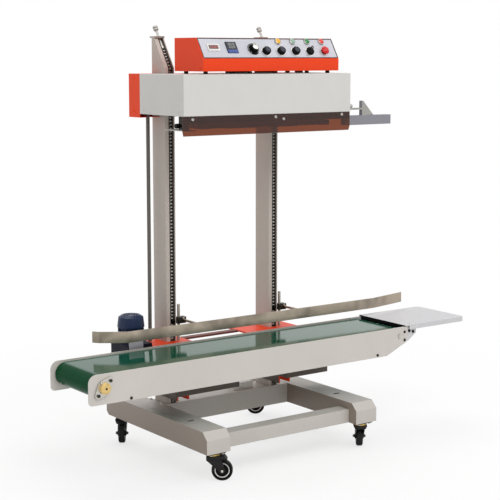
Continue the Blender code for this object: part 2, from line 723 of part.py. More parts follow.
def drive_roller(half):
    """The driven roller with its shaft and the chain sprocket on its rear end."""
    sprocket = SPROCKET_Y - CONVEYOR_MIDDLE
    profile = [(0, sprocket + SPROCKET_WIDTH), (DRIVE_SHAFT, sprocket + SPROCKET_WIDTH),
               (DRIVE_SHAFT, sprocket + SPROCKET_WIDTH / 2), (SPROCKET_RADIUS, sprocket + SPROCKET_WIDTH / 2),
               (SPROCKET_RADIUS, sprocket - SPROCKET_WIDTH / 2), (DRIVE_SHAFT, sprocket - SPROCKET_WIDTH / 2),
               (DRIVE_SHAFT, half), (DRIVE_RADIUS, half), (DRIVE_RADIUS, -half), (DRIVE_SHAFT, -half),
               (DRIVE_SHAFT, -CONVEYOR_WIDTH / 2 - BEARING_LENGTH + 0.005),
               (0, -CONVEYOR_WIDTH / 2 - BEARING_LENGTH + 0.005)]
    part("drive_roller", turned(profile, 24), "bright_steel", (DRIVE_X, CONVEYOR_MIDDLE, DRIVE_Z),
         (-math.pi / 2, 0, 0), smooth=True)


def front_bearing():
    """The two-bolt oval flange bearing on the front plate."""
    ear = BEARING_BOLTS / 2
    lean = math.degrees(math.acos((BEARING_RADIUS - BEARING_EAR) / ear))
    outline = []
    for base_turn in (0, 180):
        turn = BEARING_TILT + base_turn
        spot = (ear * math.cos(math.radians(turn)), ear * math.sin(math.radians(turn)))
        outline += arc(spot, BEARING_EAR, turn - lean, turn + lean, 6)
        outline += arc((0, 0), BEARING_RADIUS, turn + lean, turn + 180 - lean, 4)
    back = -GAP
    spots = [(s * ear * math.cos(math.radians(BEARING_TILT)), s * ear * math.sin(math.radians(BEARING_TILT)))
             for s in (-1, 1)]
    shape = joined(
        plate([outline], "y", back - BEARING_FLANGE, back),
        bar(BEARING_HUB, (0, back - BEARING_LENGTH, 0), (0, back - OVERLAP, 0), 24),
        *[bar(BOLT_HEAD, (x, back - BEARING_FLANGE - BOLT_HEAD_LENGTH, z), (x, back - OVERLAP, z), 6)
          for x, z in spots])
    shape = cut(shape, bar(DRIVE_SHAFT + RUNNING, (0, -0.05, 0), (0, 0.05, 0), 24))
    part("front_bearing", shape, "brass", (DRIVE_X, CONVEYOR_FRONT, DRIVE_Z))


def feed_table():
    """The hemmed infeed table on two arms that bolt inside the conveyor's side plates."""
    left = CONVEYOR_RIGHT + TABLE_GAP
    right = left + TABLE_LENGTH
    front = CONVEYOR_FRONT - TABLE_OVERHANG
    rear = CONVEYOR_REAR + TABLE_OVERHANG
    top = PLATE_TOP + TABLE_RISE
    under = top - TABLE_SHEET
    corners = [*arc((right - TABLE_CORNER, front + TABLE_CORNER), TABLE_CORNER, -90, 0, 5),
               *arc((right - TABLE_CORNER, rear - TABLE_CORNER), TABLE_CORNER, 0, 90, 5)]
    pan = plate([[(left, rear), (left, front), *corners]], "z", top - TABLE_HEM, top)
    wall = TABLE_SHEET
    round_in = TABLE_CORNER - wall
    hollow = [*arc((right - TABLE_CORNER, front + TABLE_CORNER), round_in, -90, 0, 5),
              *arc((right - TABLE_CORNER, rear - TABLE_CORNER), round_in, 0, 90, 5)]
    pan = cut(pan, plate([[(left - OVERLAP, rear - wall), (left - OVERLAP, front + wall), *hollow]], "z",
                         top - TABLE_HEM - OVERLAP, under))
    arm_left = TAIL_X - BED_TAIL_GAP + 0.010
    low = PLATE_TOP - TABLE_ARM_DROP
    edge = PLATE_TOP - GAP
    bolt = arc((TAIL_X, TAIL_Z), TAIL_SHAFT + RUNNING, 0, 345, 23)
    arm_right = CONVEYOR_RIGHT + TABLE_ARM_REACH
    outline = [(arm_left, low), (arm_left, edge), (left + 0.004, edge), (left + 0.006, under + OVERLAP),
               (arm_right, under + OVERLAP), (arm_right, top - 2 * TABLE_HEM), (left, low)]
    arms = []
    for start in (CONVEYOR_FRONT + PLATE_THICK + GAP, CONVEYOR_REAR - PLATE_THICK - GAP - TABLE_ARM):
        arms.append(plate([outline, bolt], "y", start, start + TABLE_ARM))
    lap = box((CONVEYOR_RIGHT - TABLE_LAP, front, under), (left + OVERLAP, rear, top))
    part("feed_table", joined(pan, lap, *arms), "panel_grey")


def carrier():
    """The dark beam under the conveyor and the orange brackets that hold it to the columns."""
    seat = CONVEYOR_REAR + GAP
    top = PLATE_BOTTOM - GAP
    front, bottom = CONVEYOR_REAR - CARRIER_DEPTH, top - CARRIER_HEIGHT
    beam = cut(box((CARRIER_LEFT, front, bottom), (CARRIER_RIGHT, CONVEYOR_REAR, top)),
               box((CARRIER_NOTCH[0], front - OVERLAP, bottom - OVERLAP),
                   (CARRIER_NOTCH[1], CONVEYOR_REAR + OVERLAP, bottom + CARRIER_NOTCH_HEIGHT)))
    part("support_beam", beam, "dark_steel")
    half = COLUMN_WIDTH / 2 + GAP
    under = BRACKET_TOP - BRACKET_SHEET
    reaches = {"left": LEFT_BRACKET_REACH, "right": RIGHT_BRACKET_REACH}
    for name, x in COLUMN_X.items():
        out_left, out_right = reaches[name]
        sheet = cut(box((-out_left, seat, under), (out_right, BRACKET_REAR, BRACKET_TOP)),
                    box((-half, COLUMN_FRONT - GAP, under - OVERLAP),
                        (half, COLUMN_FRONT + COLUMN_DEPTH + GAP, BRACKET_TOP + OVERLAP)))
        webs = [box((min(s * half, s * (half + BRACKET_SHEET)), seat, BRACKET_BOTTOM),
                    (max(s * half, s * (half + BRACKET_SHEET)), COLUMN_FRONT + COLUMN_DEPTH, under + OVERLAP))
                for s in (-1, 1)]
        post = bar(POST_RADIUS, (POST_OFFSET, POST_Y, BRACKET_TOP - OVERLAP), (POST_OFFSET, POST_Y, POST_TOP))
        if name == "left":
            extra = bar(CONDUIT_RADIUS, (-CONDUIT_OFFSET, CONDUIT_Y, BRACKET_TOP - OVERLAP),
                        (-CONDUIT_OFFSET, CONDUIT_Y, CONDUIT_TOP))
        else:
            far = COLUMN_X["left"] + LEFT_BRACKET_REACH[1] + GAP - x
            extra = box((far, CROSSBAR_Y, BRACKET_TOP - GAP - CROSSBAR_HEIGHT),
                        (OVERLAP - out_left, CROSSBAR_Y + CROSSBAR_DEPTH, BRACKET_TOP - GAP))
        part(name + "_bracket", joined(sheet, *webs, post, extra), "orange_paint", (x, 0, 0))


def conveyor_drive():
    """Gearbox on its shelf, vertical motor, output sprocket and the chain to the drive roller."""
    rear = GEARBOX_FRONT + GEARBOX_DEPTH
    half = GEARBOX_WIDTH / 2
    seat = CONVEYOR_REAR + GAP
    leg_top = GEARBOX_BOTTOM - SHELF_THICK + SHELF_LEG
    gearbox = joined(
        box((-half, GEARBOX_FRONT, GEARBOX_BOTTOM), (half, rear, GEARBOX_TOP)),
        box((-half, seat, GEARBOX_BOTTOM - SHELF_THICK), (half, rear, GEARBOX_BOTTOM + OVERLAP)),
        box((-half, seat, GEARBOX_BOTTOM - SHELF_THICK), (half, seat + SHELF_LEG_THICK, leg_top)))
    gearbox = cut(gearbox, bar(STUB_RADIUS + RUNNING, (0, GEARBOX_FRONT - 0.01, DRIVE_Z),
                               (0, GEARBOX_FRONT + STUB_LENGTH + GAP, DRIVE_Z), 24))
    part("conveyor_gearbox", gearbox, "dark_steel", (GEARBOX_X, 0, 0))
    base_z = GEARBOX_TOP + GAP
    lip = 0.008
    motor = [(0, MOTOR_TOP - 0.004), (COWL_RADIUS - 3 * lip, MOTOR_TOP - 0.004), (COWL_RADIUS - 2 * lip, MOTOR_TOP),
             (COWL_RADIUS - lip / 2, MOTOR_TOP - lip), (COWL_RADIUS, COWL_BOTTOM + lip / 2),
             (COWL_RADIUS, COWL_BOTTOM), (MOTOR_RADIUS, COWL_BOTTOM), (MOTOR_RADIUS, base_z), (0, base_z)]
    part("conveyor_motor", turned(motor, 32), "navy_paint", (MOTOR_X, MOTOR_Y, 0), smooth=True)
    face = SPROCKET_WIDTH / 2
    stub_end = GEARBOX_FRONT + STUB_LENGTH - SPROCKET_Y
    stub = [(0, stub_end), (STUB_RADIUS, stub_end), (STUB_RADIUS, face), (SPROCKET_RADIUS, face),
            (SPROCKET_RADIUS, -face), (0, -face)]
    part("motor_sprocket", turned(stub, 24), "dark_steel", (GEARBOX_X, SPROCKET_Y, DRIVE_Z),
         (-math.pi / 2, 0, 0), smooth=True)
    first, second = (DRIVE_X, DRIVE_Z), (GEARBOX_X, DRIVE_Z)
    loops = [belt_loop(first, SPROCKET_RADIUS + grow, second, SPROCKET_RADIUS + grow)
             for grow in (RUNNING + DRIVE_CHAIN_THICK, RUNNING)]
    part("drive_chain", plate(loops, "y", SPROCKET_Y - DRIVE_CHAIN_WIDTH / 2, SPROCKET_Y + DRIVE_CHAIN_WIDTH / 2),
         "dark_steel", smooth=True)


def bag_guide():
    """The long guide rail on two rods, and the clamps that hold the rods to the posts."""
    left, right = RAIL_STRAIGHT
    left_end = (left - RAIL_LEFT_FLARE[0], RAIL_Y + RAIL_LEFT_FLARE[1])
    path = [(left_end[0] - RAIL_RETURN[0], left_end[1] + RAIL_RETURN[1]), left_end, (left, RAIL_Y), (right, RAIL_Y),
            (right + RAIL_RIGHT_FLARE[0], RAIL_Y + RAIL_RIGHT_FLARE[1])]
    rail = plate([ribbon(path, RAIL_THICK)], "z", RAIL_BOTTOM, RAIL_BOTTOM + RAIL_HEIGHT)
    rods = []
    for name, x in COLUMN_X.items():
        post = x + POST_OFFSET
        rod = post + ROD_OFFSET
        rods.append(bar(ROD_RADIUS, (rod, RAIL_Y, ROD_Z), (rod, ROD_END, ROD_Z)))
        block = box((-CLAMP_WALL - POST_RADIUS, -CLAMP_HALF, ROD_Z - CLAMP_HALF),
                    (ROD_OFFSET + ROD_RADIUS + CLAMP_WALL, CLAMP_HALF, ROD_Z + CLAMP_HALF))
        block = cut(block, bar(POST_RADIUS + RUNNING, (0, 0, ROD_Z - 0.05), (0, 0, ROD_Z + 0.05)),
                    bar(ROD_RADIUS + RUNNING, (ROD_OFFSET, -0.05, ROD_Z), (ROD_OFFSET, 0.05, ROD_Z)))
        part(name + "_clamp", block, "dark_steel", (post, POST_Y, 0))
    part("guide_rail", joined(rail, *rods), "bright_steel")


def head_shells():
    """The grey front cover, the orange rear housing with its carriages, and the acrylic guard."""
    shell = cut(
        box((COVER_LEFT, COVER_FRONT, COVER_BOTTOM), (COVER_RIGHT, COVER_REAR, COVER_TOP)),
        box((COVER_LEFT + HEAD_SHEET, COVER_FRONT + HEAD_SHEET, COVER_BOTTOM - OVERLAP),
            (COVER_RIGHT - HEAD_SHEET, COVER_REAR + OVERLAP, COVER_TOP - HEAD_SHEET)),
        *[box((x - COLUMN_WIDTH / 2 - COLUMN_NOTCH, COLUMN_FRONT - COLUMN_NOTCH, COVER_TOP - 0.01),
              (x + COLUMN_WIDTH / 2 + COLUMN_NOTCH, COVER_REAR + OVERLAP, COVER_TOP + 0.01))
          for x in COLUMN_X.values()])
    part("front_cover", shell, "grey_paint", parent=head)
    front = COVER_REAR + GAP
    rear = front + HOUSING_DEPTH
    bottom = COVER_BOTTOM - HOUSING_DROP
    inside = rear - HEAD_SHEET
    housing = cut(
        box((COVER_LEFT, front, bottom), (COVER_RIGHT, rear, COVER_TOP)),
        box((COVER_LEFT + HEAD_SHEET, front - OVERLAP, bottom + HEAD_SHEET),
            (COVER_RIGHT - HEAD_SHEET, inside, COVER_TOP - HEAD_SHEET)))
    conduit = COLUMN_X["left"] - CONDUIT_OFFSET
    play = CONDUIT_RADIUS + COLUMN_NOTCH
    blocks = []
    openings = [box((conduit - play, front - OVERLAP, bottom - 0.01),
                    (conduit + play, CONDUIT_Y + play, COVER_TOP + 0.01))]
    for x in COLUMN_X.values():
        half = COLUMN_WIDTH / 2
        back = COLUMN_FRONT + COLUMN_DEPTH
        blocks.append(cut(
            box((x - half - CARRIAGE_WALL, CARRIAGE_FRONT, CARRIAGE_BOTTOM),
                (x + half + CARRIAGE_WALL, inside + OVERLAP, CARRIAGE_TOP)),
            box((x - half - RUNNING, CARRIAGE_FRONT - OVERLAP, CARRIAGE_BOTTOM - OVERLAP),
                (x + half + RUNNING, back + RUNNING, CARRIAGE_TOP + OVERLAP))))
        openings.append(box((x - half - COLUMN_NOTCH, front - OVERLAP, bottom - 0.01),
                            (x + half + COLUMN_NOTCH, back + COLUMN_NOTCH, bottom + 0.01)))
        openings.append(box((x - half - COLUMN_NOTCH, front - OVERLAP, COVER_TOP - 0.01),
                            (x + half + COLUMN_NOTCH, back + COLUMN_NOTCH, COVER_TOP + 0.01)))
    part("rear_housing", joined(cut(housing, *openings), *blocks), "orange_paint", parent=head)
    face = BASE_FRONT - GAP - GUARD_THICK / 2
    path = [(face, COVER_BOTTOM - RUNNING), (face, GUARD_BEND), (face - GUARD_LIP, GUARD_BOTTOM)]
    guard = plate([ribbon(path, GUARD_THICK)], "x", GUARD_LEFT, GUARD_RIGHT)
    across, up = GUARD_CHAMFER
    corner = [(GUARD_RIGHT - across, GUARD_BOTTOM - 0.01), (GUARD_RIGHT - across, GUARD_BOTTOM),
              (GUARD_RIGHT, GUARD_BOTTOM + up), (GUARD_RIGHT + 0.01, GUARD_BOTTOM + up),
              (GUARD_RIGHT + 0.01, GUARD_BOTTOM - 0.01)]
    guard = cut(guard, plate([corner], "y", face - 0.02, face + 0.02))
    part("acrylic_guard", guard, "brown_acrylic", parent=head)


def base_plate():
    """The plate that carries the sealing gear, with its guard flange, end plate and shaft pillars."""
    left, right = COVER_LEFT + HEAD_SHEET + GAP, COVER_RIGHT - HEAD_SHEET - GAP
    pillars, wells = [], []
    for x in pillar_places():
        pillars.append(box((x - PILLAR_THICK / 2, LIFT_SHAFT_Y - PILLAR_HALF, BASE_TOP - OVERLAP),
                           (x + PILLAR_THICK / 2, LIFT_SHAFT_Y + PILLAR_HALF, LIFT_SHAFT_Z + PILLAR_HALF)))
    for x in (-BAND_WHEEL_X, BAND_WHEEL_X):
        for y in (FRONT_WHEEL_Y, REAR_WHEEL_Y):
            wells.append(bar(BAND_SHAFT + RUNNING, (x, y, BASE_BOTTOM - 0.01), (x, y, BASE_TOP + 0.01)))
    shape = joined(
        box((left, BASE_FRONT, BASE_BOTTOM), (right, BASE_REAR, BASE_TOP)),
        box((left, BASE_FRONT, BASE_BOTTOM - FLANGE_DROP), (right, BASE_FRONT + FLANGE_THICK, BASE_BOTTOM + OVERLAP)),
        box((END_PLATE_X, BASE_FRONT, END_PLATE_BOTTOM),
            (END_PLATE_X + END_PLATE_THICK, BASE_FRONT + END_PLATE_DEPTH, BASE_BOTTOM + OVERLAP)),
        *pillars)
    shape = cut(shape, *wells,
                bar(LIFT_SHAFT_RADIUS + RUNNING, (left - 0.01, LIFT_SHAFT_Y, LIFT_SHAFT_Z),
                    (right + 0.01, LIFT_SHAFT_Y, LIFT_SHAFT_Z), 20),
                bar(KNOB_SHAFT + RUNNING, (END_PLATE_X - 0.01, KNOB_Y, KNOB_Z),
                    (END_PLATE_X + END_PLATE_THICK + 0.01, KNOB_Y, KNOB_Z)))
    part("head_base_plate", shape, "bright_steel", parent=head)


def pillar_places():
    """The X of the two pillars that carry the lift shaft, just outside its sprockets."""
    return (COLUMN_X["left"] + SLOT_X - PILLAR_OUT, COLUMN_X["right"] + SLOT_X + PILLAR_OUT)


def lift_drive():
    """The cross shaft whose two sprockets climb the fixed chains, and its geared motor."""
    ends = pillar_places()
    start, end = ends[0] - PILLAR_THICK, ends[1] + PILLAR_THICK
    wheels = []
    for x in COLUMN_X.values():
        teeth = []
        for i in range(SPROCKET_TEETH):
            for share, radius in ((0.0, SPROCKET_ROOT), (0.25, SPROCKET_ROOT), (0.45, SPROCKET_TIP),
                                  (0.80, SPROCKET_TIP)):
                angle = 2 * math.pi * (i + share) / SPROCKET_TEETH
                teeth.append((radius * math.cos(angle), radius * math.sin(angle)))
        middle = x + SLOT_X
        wheels.append(plate([teeth], "x", middle - LIFT_SPROCKET_WIDTH / 2, middle + LIFT_SPROCKET_WIDTH / 2))
    shaft = joined(bar(LIFT_SHAFT_RADIUS, (start, 0, 0), (end, 0, 0), 20), *wheels)
    part("lift_shaft", shaft, "bright_steel", (0, LIFT_SHAFT_Y, LIFT_SHAFT_Z), parent=head)
    half = LIFT_GEARBOX_WIDTH / 2
    front = LIFT_SHAFT_Y - LIFT_GEARBOX_HALF
    level = BASE_TOP + GAP + LIFT_MOTOR_RADIUS + 0.006
    motor = joined(
        box((LIFT_GEARBOX_X - half, front, BASE_TOP + GAP),
            (LIFT_GEARBOX_X + half, LIFT_SHAFT_Y + BASE_REAR - LIFT_SHAFT_Y, LIFT_SHAFT_Z + LIFT_GEARBOX_HALF)),
        bar(LIFT_MOTOR_RADIUS, (LIFT_GEARBOX_X, front - LIFT_MOTOR_LENGTH, level),
            (LIFT_GEARBOX_X, front + OVERLAP, level), 24))
    motor = cut(motor, bar(LIFT_SHAFT_RADIUS + RUNNING, (LIFT_GEARBOX_X - 0.1, LIFT_SHAFT_Y, LIFT_SHAFT_Z),
                           (LIFT_GEARBOX_X + 0.1, LIFT_SHAFT_Y, LIFT_SHAFT_Z), 20))
    part("lift_motor", motor, "dark_steel", parent=head)
    part("band_motor", bar(BAND_MOTOR_RADIUS, (BAND_MOTOR_X, BAND_MOTOR_Y, BASE_TOP + GAP),
                           (BAND_MOTOR_X, BAND_MOTOR_Y, BASE_TOP + GAP + BAND_MOTOR_HEIGHT), 24),
         "dark_steel", parent=head, smooth=True)


def seal_gear():
    """Band wheels, sealing bands, heating and cooling bars, and the pressure knob."""
    low, high = -BAND_WHEEL_WIDTH / 2, BAND_WHEEL_WIDTH / 2
    nut_seat = BASE_TOP + GAP - BAND_Z
    wheel = [(0, nut_seat + BAND_NUT_HEIGHT), (BAND_NUT, nut_seat + BAND_NUT_HEIGHT), (BAND_NUT, nut_seat),
             (BAND_SHAFT, nut_seat), (BAND_SHAFT, high), (BAND_WHEEL_RADIUS, high), (BAND_WHEEL_RADIUS, low),
             (BAND_SHAFT, low), (0, low)]
    rows = {"front": (FRONT_WHEEL_Y, 1), "rear": (REAR_WHEEL_Y, -1)}
    for row, (y, inward) in rows.items():
        for end, x in (("drive", -BAND_WHEEL_X), ("idler", BAND_WHEEL_X)):
            part(row + "_" + end + "_wheel", turned(wheel, 24), "bright_steel", (x, y, BAND_Z), parent=head,
                 smooth=True)
        radius = BAND_WHEEL_RADIUS + GAP
        loops = [belt_loop((-BAND_WHEEL_X, y), radius + grow, (BAND_WHEEL_X, y), radius + grow)
                 for grow in (BAND_THICK, 0)]
        part(row + "_band", plate(loops, "z", BAND_Z - BAND_HEIGHT / 2, BAND_Z + BAND_HEIGHT / 2),
             "white_glass_tape", parent=head, smooth=True)
        face = y + inward * (BAND_WHEEL_RADIUS + GAP - SEAL_BAR_RUN)
        back = face - inward * SEAL_BAR_DEPTH
        near, far = min(face, back), max(face, back)
        top = BASE_BOTTOM - GAP
        bars = joined(
            box((-SEAL_BAR_HALF, near, top - SEAL_BAR_BRIDGE), (SEAL_BAR_HALF, far, top)),
            box((-SEAL_BAR_HALF, near, SEAL_BAR_BOTTOM), (-SEAL_BAR_SPLIT / 2, far, top - OVERLAP)),
            box((SEAL_BAR_SPLIT / 2, near, SEAL_BAR_BOTTOM), (SEAL_BAR_HALF, far, top - OVERLAP)))
        part(row + "_seal_bar", bars, "brass", parent=head)
    shaft_end = END_PLATE_THICK + KNOB_STANDOFF + 0.006
    knob = joined(bar(KNOB_RADIUS, (-KNOB_STANDOFF - KNOB_LENGTH, 0, 0), (-KNOB_STANDOFF, 0, 0), 20),
                  bar(KNOB_SHAFT, (-KNOB_STANDOFF - OVERLAP, 0, 0), (shaft_end, 0, 0), 12))
    part("pressure_knob", knob, "black_plastic", (END_PLATE_X, KNOB_Y, KNOB_Z), parent=head)


def infeed_guide():
    """The slotted channel that leads a bag's mouth to the bands, on its gusset and arm."""
    front = SEAL_Y - INFEED_DEPTH / 2
    rear = SEAL_Y + INFEED_DEPTH / 2
    top = INFEED_BOTTOM + INFEED_HEIGHT
    arm_top = INFEED_ARM_Z + INFEED_ARM
    wall = COVER_RIGHT + GAP
    gusset = [(GUSSET_LEFT, top - OVERLAP), (GUSSET_RIGHT, top - OVERLAP), (GUSSET_RIGHT - 0.006, top + 0.004),
              (GUSSET_LEFT + 0.006, GUSSET_TOP), (GUSSET_LEFT, GUSSET_TOP)]
    shape = joined(
        box((INFEED_PLATE_X, front, INFEED_BOTTOM), (INFEED_RIGHT, rear, top)),
        box((INFEED_PLATE_X, front, INFEED_BOTTOM), (INFEED_PLATE_X + INFEED_PLATE, rear, arm_top - OVERLAP)),
        box((wall, front, INFEED_ARM_Z), (GUSSET_LEFT + 0.004, front + GUSSET_DEPTH, arm_top)),
        box((wall, front, INFEED_ARM_Z), (wall + INFEED_TAB_THICK, rear, INFEED_ARM_Z + INFEED_TAB)),
        plate([gusset], "y", front, front + GUSSET_DEPTH),
        turned_dome((DOME_X, front + GUSSET_DEPTH / 2, arm_top)))
    slot = INFEED_SLOT / 2
    shape = cut(shape, box((INFEED_PLATE_X - OVERLAP, SEAL_Y - slot, INFEED_BOTTOM - OVERLAP),
                           (INFEED_RIGHT + OVERLAP, SEAL_Y + slot, top - INFEED_ROOF)))
    part("infeed_guide", shape, "bright_steel", parent=head)


def turned_dome(place):
    """A round-topped clamping knob standing on the infeed arm."""
    rim = [(DOME_RADIUS * math.cos(math.radians(a)), DOME_HEIGHT / 2 * (1 + math.sin(math.radians(a))))
           for a in (60, 30, 0)]
    dome = turned([(0, DOME_HEIGHT), *rim, (DOME_RADIUS * 0.7, -OVERLAP), (0, -OVERLAP)], 16)
    dome.transform(Matrix.Translation(place))
    return dome


def control_box():
    """The orange control box, its sloped panel with meters and lamps, and its knobs and buttons."""
    right = BOX_LEFT + BOX_LENGTH
    top = BOX_BOTTOM + BOX_HEIGHT
    rear = BOX_FRONT + BOX_DEPTH
    side = [(BOX_FRONT, BOX_BOTTOM), (rear, BOX_BOTTOM), (rear, top), (BOX_FRONT + BOX_SLOPE_RUN, top),
            (BOX_FRONT, PANEL_FOOT)]
    wall = HEAD_SHEET
    lean = wall / math.sin(PANEL_TILT)
    hollow = [(BOX_FRONT + wall, BOX_BOTTOM + wall), (rear - wall, BOX_BOTTOM + wall), (rear - wall, top - wall),
              (BOX_FRONT + BOX_SLOPE_RUN + lean, top - wall), (BOX_FRONT + wall, PANEL_FOOT - wall)]
    shell = cut(plate([side], "x", BOX_LEFT, right), plate([hollow], "x", BOX_LEFT + wall, right - wall))
    window = box((-BOX_LENGTH / 2 + BOX_RIM, BOX_RIM, -0.02), (BOX_LENGTH / 2 - BOX_RIM, PANEL_LENGTH - BOX_RIM, 0.02))
    window.transform(Matrix.Translation((BOX_MIDDLE, BOX_FRONT, PANEL_FOOT)) @ Matrix.Rotation(PANEL_TILT, 4, "X"))
    shell = cut(shell, window)
    feet = [bar(BOX_FOOT_RADIUS, (x, y, COVER_TOP + GAP), (x, y, BOX_BOTTOM + OVERLAP))
            for x in (BOX_LEFT + BOX_FOOT_INSET, right - BOX_FOOT_INSET)
            for y in (BOX_FRONT + BOX_FOOT_INSET, rear - BOX_FOOT_INSET)]
    part("control_box", joined(shell, *feet), "orange_paint", parent=head)
    panel = bpy.data.objects.new("panel_plane", None)
    panel.location = (BOX_MIDDLE, BOX_FRONT, PANEL_FOOT)
    panel.rotation_euler = (PANEL_TILT, 0, 0)
    panel.parent = head
    parts.objects.link(panel)
    face = GAP + PANEL_SHEET
    # Meters, dial, switches and stop button stand in one row between the two ends of the box.
    spread = (BOX_LENGTH - DISPLAY_INSET - STOP_INSET) / sum(CONTROL_STEPS)
    row = [DISPLAY_INSET - BOX_LENGTH / 2 + spread * sum(CONTROL_STEPS[:i]) for i in range(len(CONTROL_STEPS) + 1)]
    display_x, controller_x, dial_x, *switches = row
    sheet = box((-BOX_LENGTH / 2 + PANEL_MARGIN, PANEL_MARGIN, GAP),
                (BOX_LENGTH / 2 - PANEL_MARGIN, PANEL_LENGTH - PANEL_MARGIN, face))
    meters = [raised(DISPLAY, display_x, face), raised(CONTROLLER, controller_x, face)]
    lamps = [bar(LAMP_RADIUS, (x, LAMP_UP, face - OVERLAP), (x, LAMP_UP, face + LAMP_HEIGHT))
             for x in switches[1:]]
    dial = bar(DIAL_SCALE, (dial_x, DIAL_UP, face - OVERLAP), (dial_x, DIAL_UP, face + DIAL_SCALE_THICK), 32)
    sheet = joined(sheet, *meters, *lamps, dial)
    stop_hole = bar(STOP_NECK + RUNNING, (switches[4], SWITCH_UP, -0.01), (switches[4], SWITCH_UP, 0.02), 20)
    part("control_panel", cut(sheet, stop_hole), "panel_grey", parent=panel)
    seat = face + GAP
    part("dial_knob", turned(knob_profile(DIAL_RADIUS, DIAL_HEIGHT), 20), "black_plastic",
         (dial_x, DIAL_UP, seat + DIAL_SCALE_THICK), parent=panel, smooth=True)
    for i in range(3):
        part("rotary_switch_%d" % (i + 1), turned(knob_profile(SWITCH_RADIUS, SWITCH_HEIGHT), 20), "black_plastic",
             (switches[i], SWITCH_UP, seat), parent=panel, smooth=True)
    lever = joined(turned(knob_profile(SWITCH_RADIUS, SWITCH_HEIGHT / 2), 20),
                   box((-LEVER_WIDTH / 2, -LEVER_LENGTH / 2, SWITCH_HEIGHT / 2 - OVERLAP),
                       (LEVER_WIDTH / 2, LEVER_LENGTH / 2, SWITCH_HEIGHT)))
    part("selector_lever", lever, "black_plastic", (switches[3], SWITCH_UP, seat),
         (0, 0, math.radians(LEVER_TURN)), panel)
    lift = STOP_TRAVEL + 0.002
    stop = [(0, lift + STOP_CAP), (STOP_RADIUS * 0.6, lift + STOP_CAP), (STOP_RADIUS, lift + STOP_CAP * 0.5),
            (STOP_RADIUS, lift), (STOP_NECK, lift), (STOP_NECK, -STOP_DEPTH), (0, -STOP_DEPTH)]
    part("stop_button", turned(stop, 24), "red_plastic", (switches[4], SWITCH_UP, face), parent=panel, smooth=True)


def raised(size, x, face):
    """A meter's case standing on the panel face."""
    width, height, depth = size
    return box((x - width / 2, METER_UP - height / 2, face - OVERLAP),
               (x + width / 2, METER_UP + height / 2, face + depth))


def knob_profile(radius, height):
    """A round knob that narrows a little to a bevelled top."""
    return [(0, height), (radius * 0.72, height), (radius * 0.85, height - 0.002), (radius, 0), (0, 0)]


def centre_on_footprint():
    """Moves the machine so that its origin is under the middle of its box."""
    bpy.context.view_layer.update()
    corners = [obj.matrix_world @ vertex.co for obj in parts.objects if obj.type == "MESH"
               for vertex in obj.data.vertices]
    low = [min(c[i] for c in corners) for i in range(3)]
    high = [max(c[i] for c in corners) for i in range(3)]
    machine.location = (-(low[0] + high[0]) / 2, -(low[1] + high[1]) / 2, -low[2])


for old in list(bpy.data.objects):
    bpy.data.objects.remove(old, do_unlink=True)
parts = bpy.data.collections.new("continuous_band_sealer")
cutters = bpy.data.collections.new("cutters")
for group in (parts, cutters):
    bpy.context.scene.collection.children.link(group)
machine = bpy.data.objects.new("machine", None)
head = bpy.data.objects.new("head", None)
head.parent = machine
for empty in (machine, head):
    parts.objects.link(empty)

casters()
base()
columns()
conveyor()
feed_table()
carrier()
conveyor_drive()
bag_guide()
head_shells()
base_plate()
lift_drive()
seal_gear()
infeed_guide()
control_box()
centre_on_footprint()
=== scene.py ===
"""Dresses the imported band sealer: finishes, fasteners, chains, panel details, stage and camera."""

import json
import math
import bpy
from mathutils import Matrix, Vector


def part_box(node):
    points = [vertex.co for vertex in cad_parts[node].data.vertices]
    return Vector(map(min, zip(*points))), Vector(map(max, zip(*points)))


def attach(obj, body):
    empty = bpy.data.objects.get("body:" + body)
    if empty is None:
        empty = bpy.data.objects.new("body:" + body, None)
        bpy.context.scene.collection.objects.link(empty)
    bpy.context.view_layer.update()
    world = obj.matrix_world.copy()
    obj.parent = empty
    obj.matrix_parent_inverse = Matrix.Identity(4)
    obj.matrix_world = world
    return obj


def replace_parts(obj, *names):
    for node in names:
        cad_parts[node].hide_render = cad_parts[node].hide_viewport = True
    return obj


bl_info = {
    "name": "Band Sealer Dresser",
    "version": (1, 0, 0),
    "blender": (4, 5, 0),
    "location": "View3D > Sidebar > Band Sealer",
    "description": "Finishes and fine detail for a continuous band sealer",
    "category": "Object",
}

import bmesh
import bpy
from bpy.props import FloatProperty, FloatVectorProperty, PointerProperty
from mathutils import Matrix, Vector

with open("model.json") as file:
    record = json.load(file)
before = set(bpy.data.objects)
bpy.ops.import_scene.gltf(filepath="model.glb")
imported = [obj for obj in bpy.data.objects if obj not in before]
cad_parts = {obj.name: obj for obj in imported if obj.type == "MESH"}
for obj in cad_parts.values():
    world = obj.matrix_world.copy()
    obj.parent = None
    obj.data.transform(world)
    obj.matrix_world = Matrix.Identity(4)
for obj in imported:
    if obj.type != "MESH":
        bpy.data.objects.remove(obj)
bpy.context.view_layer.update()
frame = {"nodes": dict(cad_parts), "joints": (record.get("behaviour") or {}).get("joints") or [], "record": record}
BODY_OF = {node: body for body, nodes in frame["record"]["behaviour"]["bodies"].items()
           for node in nodes}
JOINTS = {joint["name"]: joint for joint in frame["joints"]}
SIDES = ("left", "right")
LEFT, RIGHT = (-1, 0, 0), (1, 0, 0)
FRONT, REAR = (0, -1, 0), (0, 1, 0)
DOWN, UP = (0, 0, -1), (0, 0, 1)
# Edges that turn more than this are kept sharp, and rounded on pieces with soft edges.
SHARP = math.radians(32)
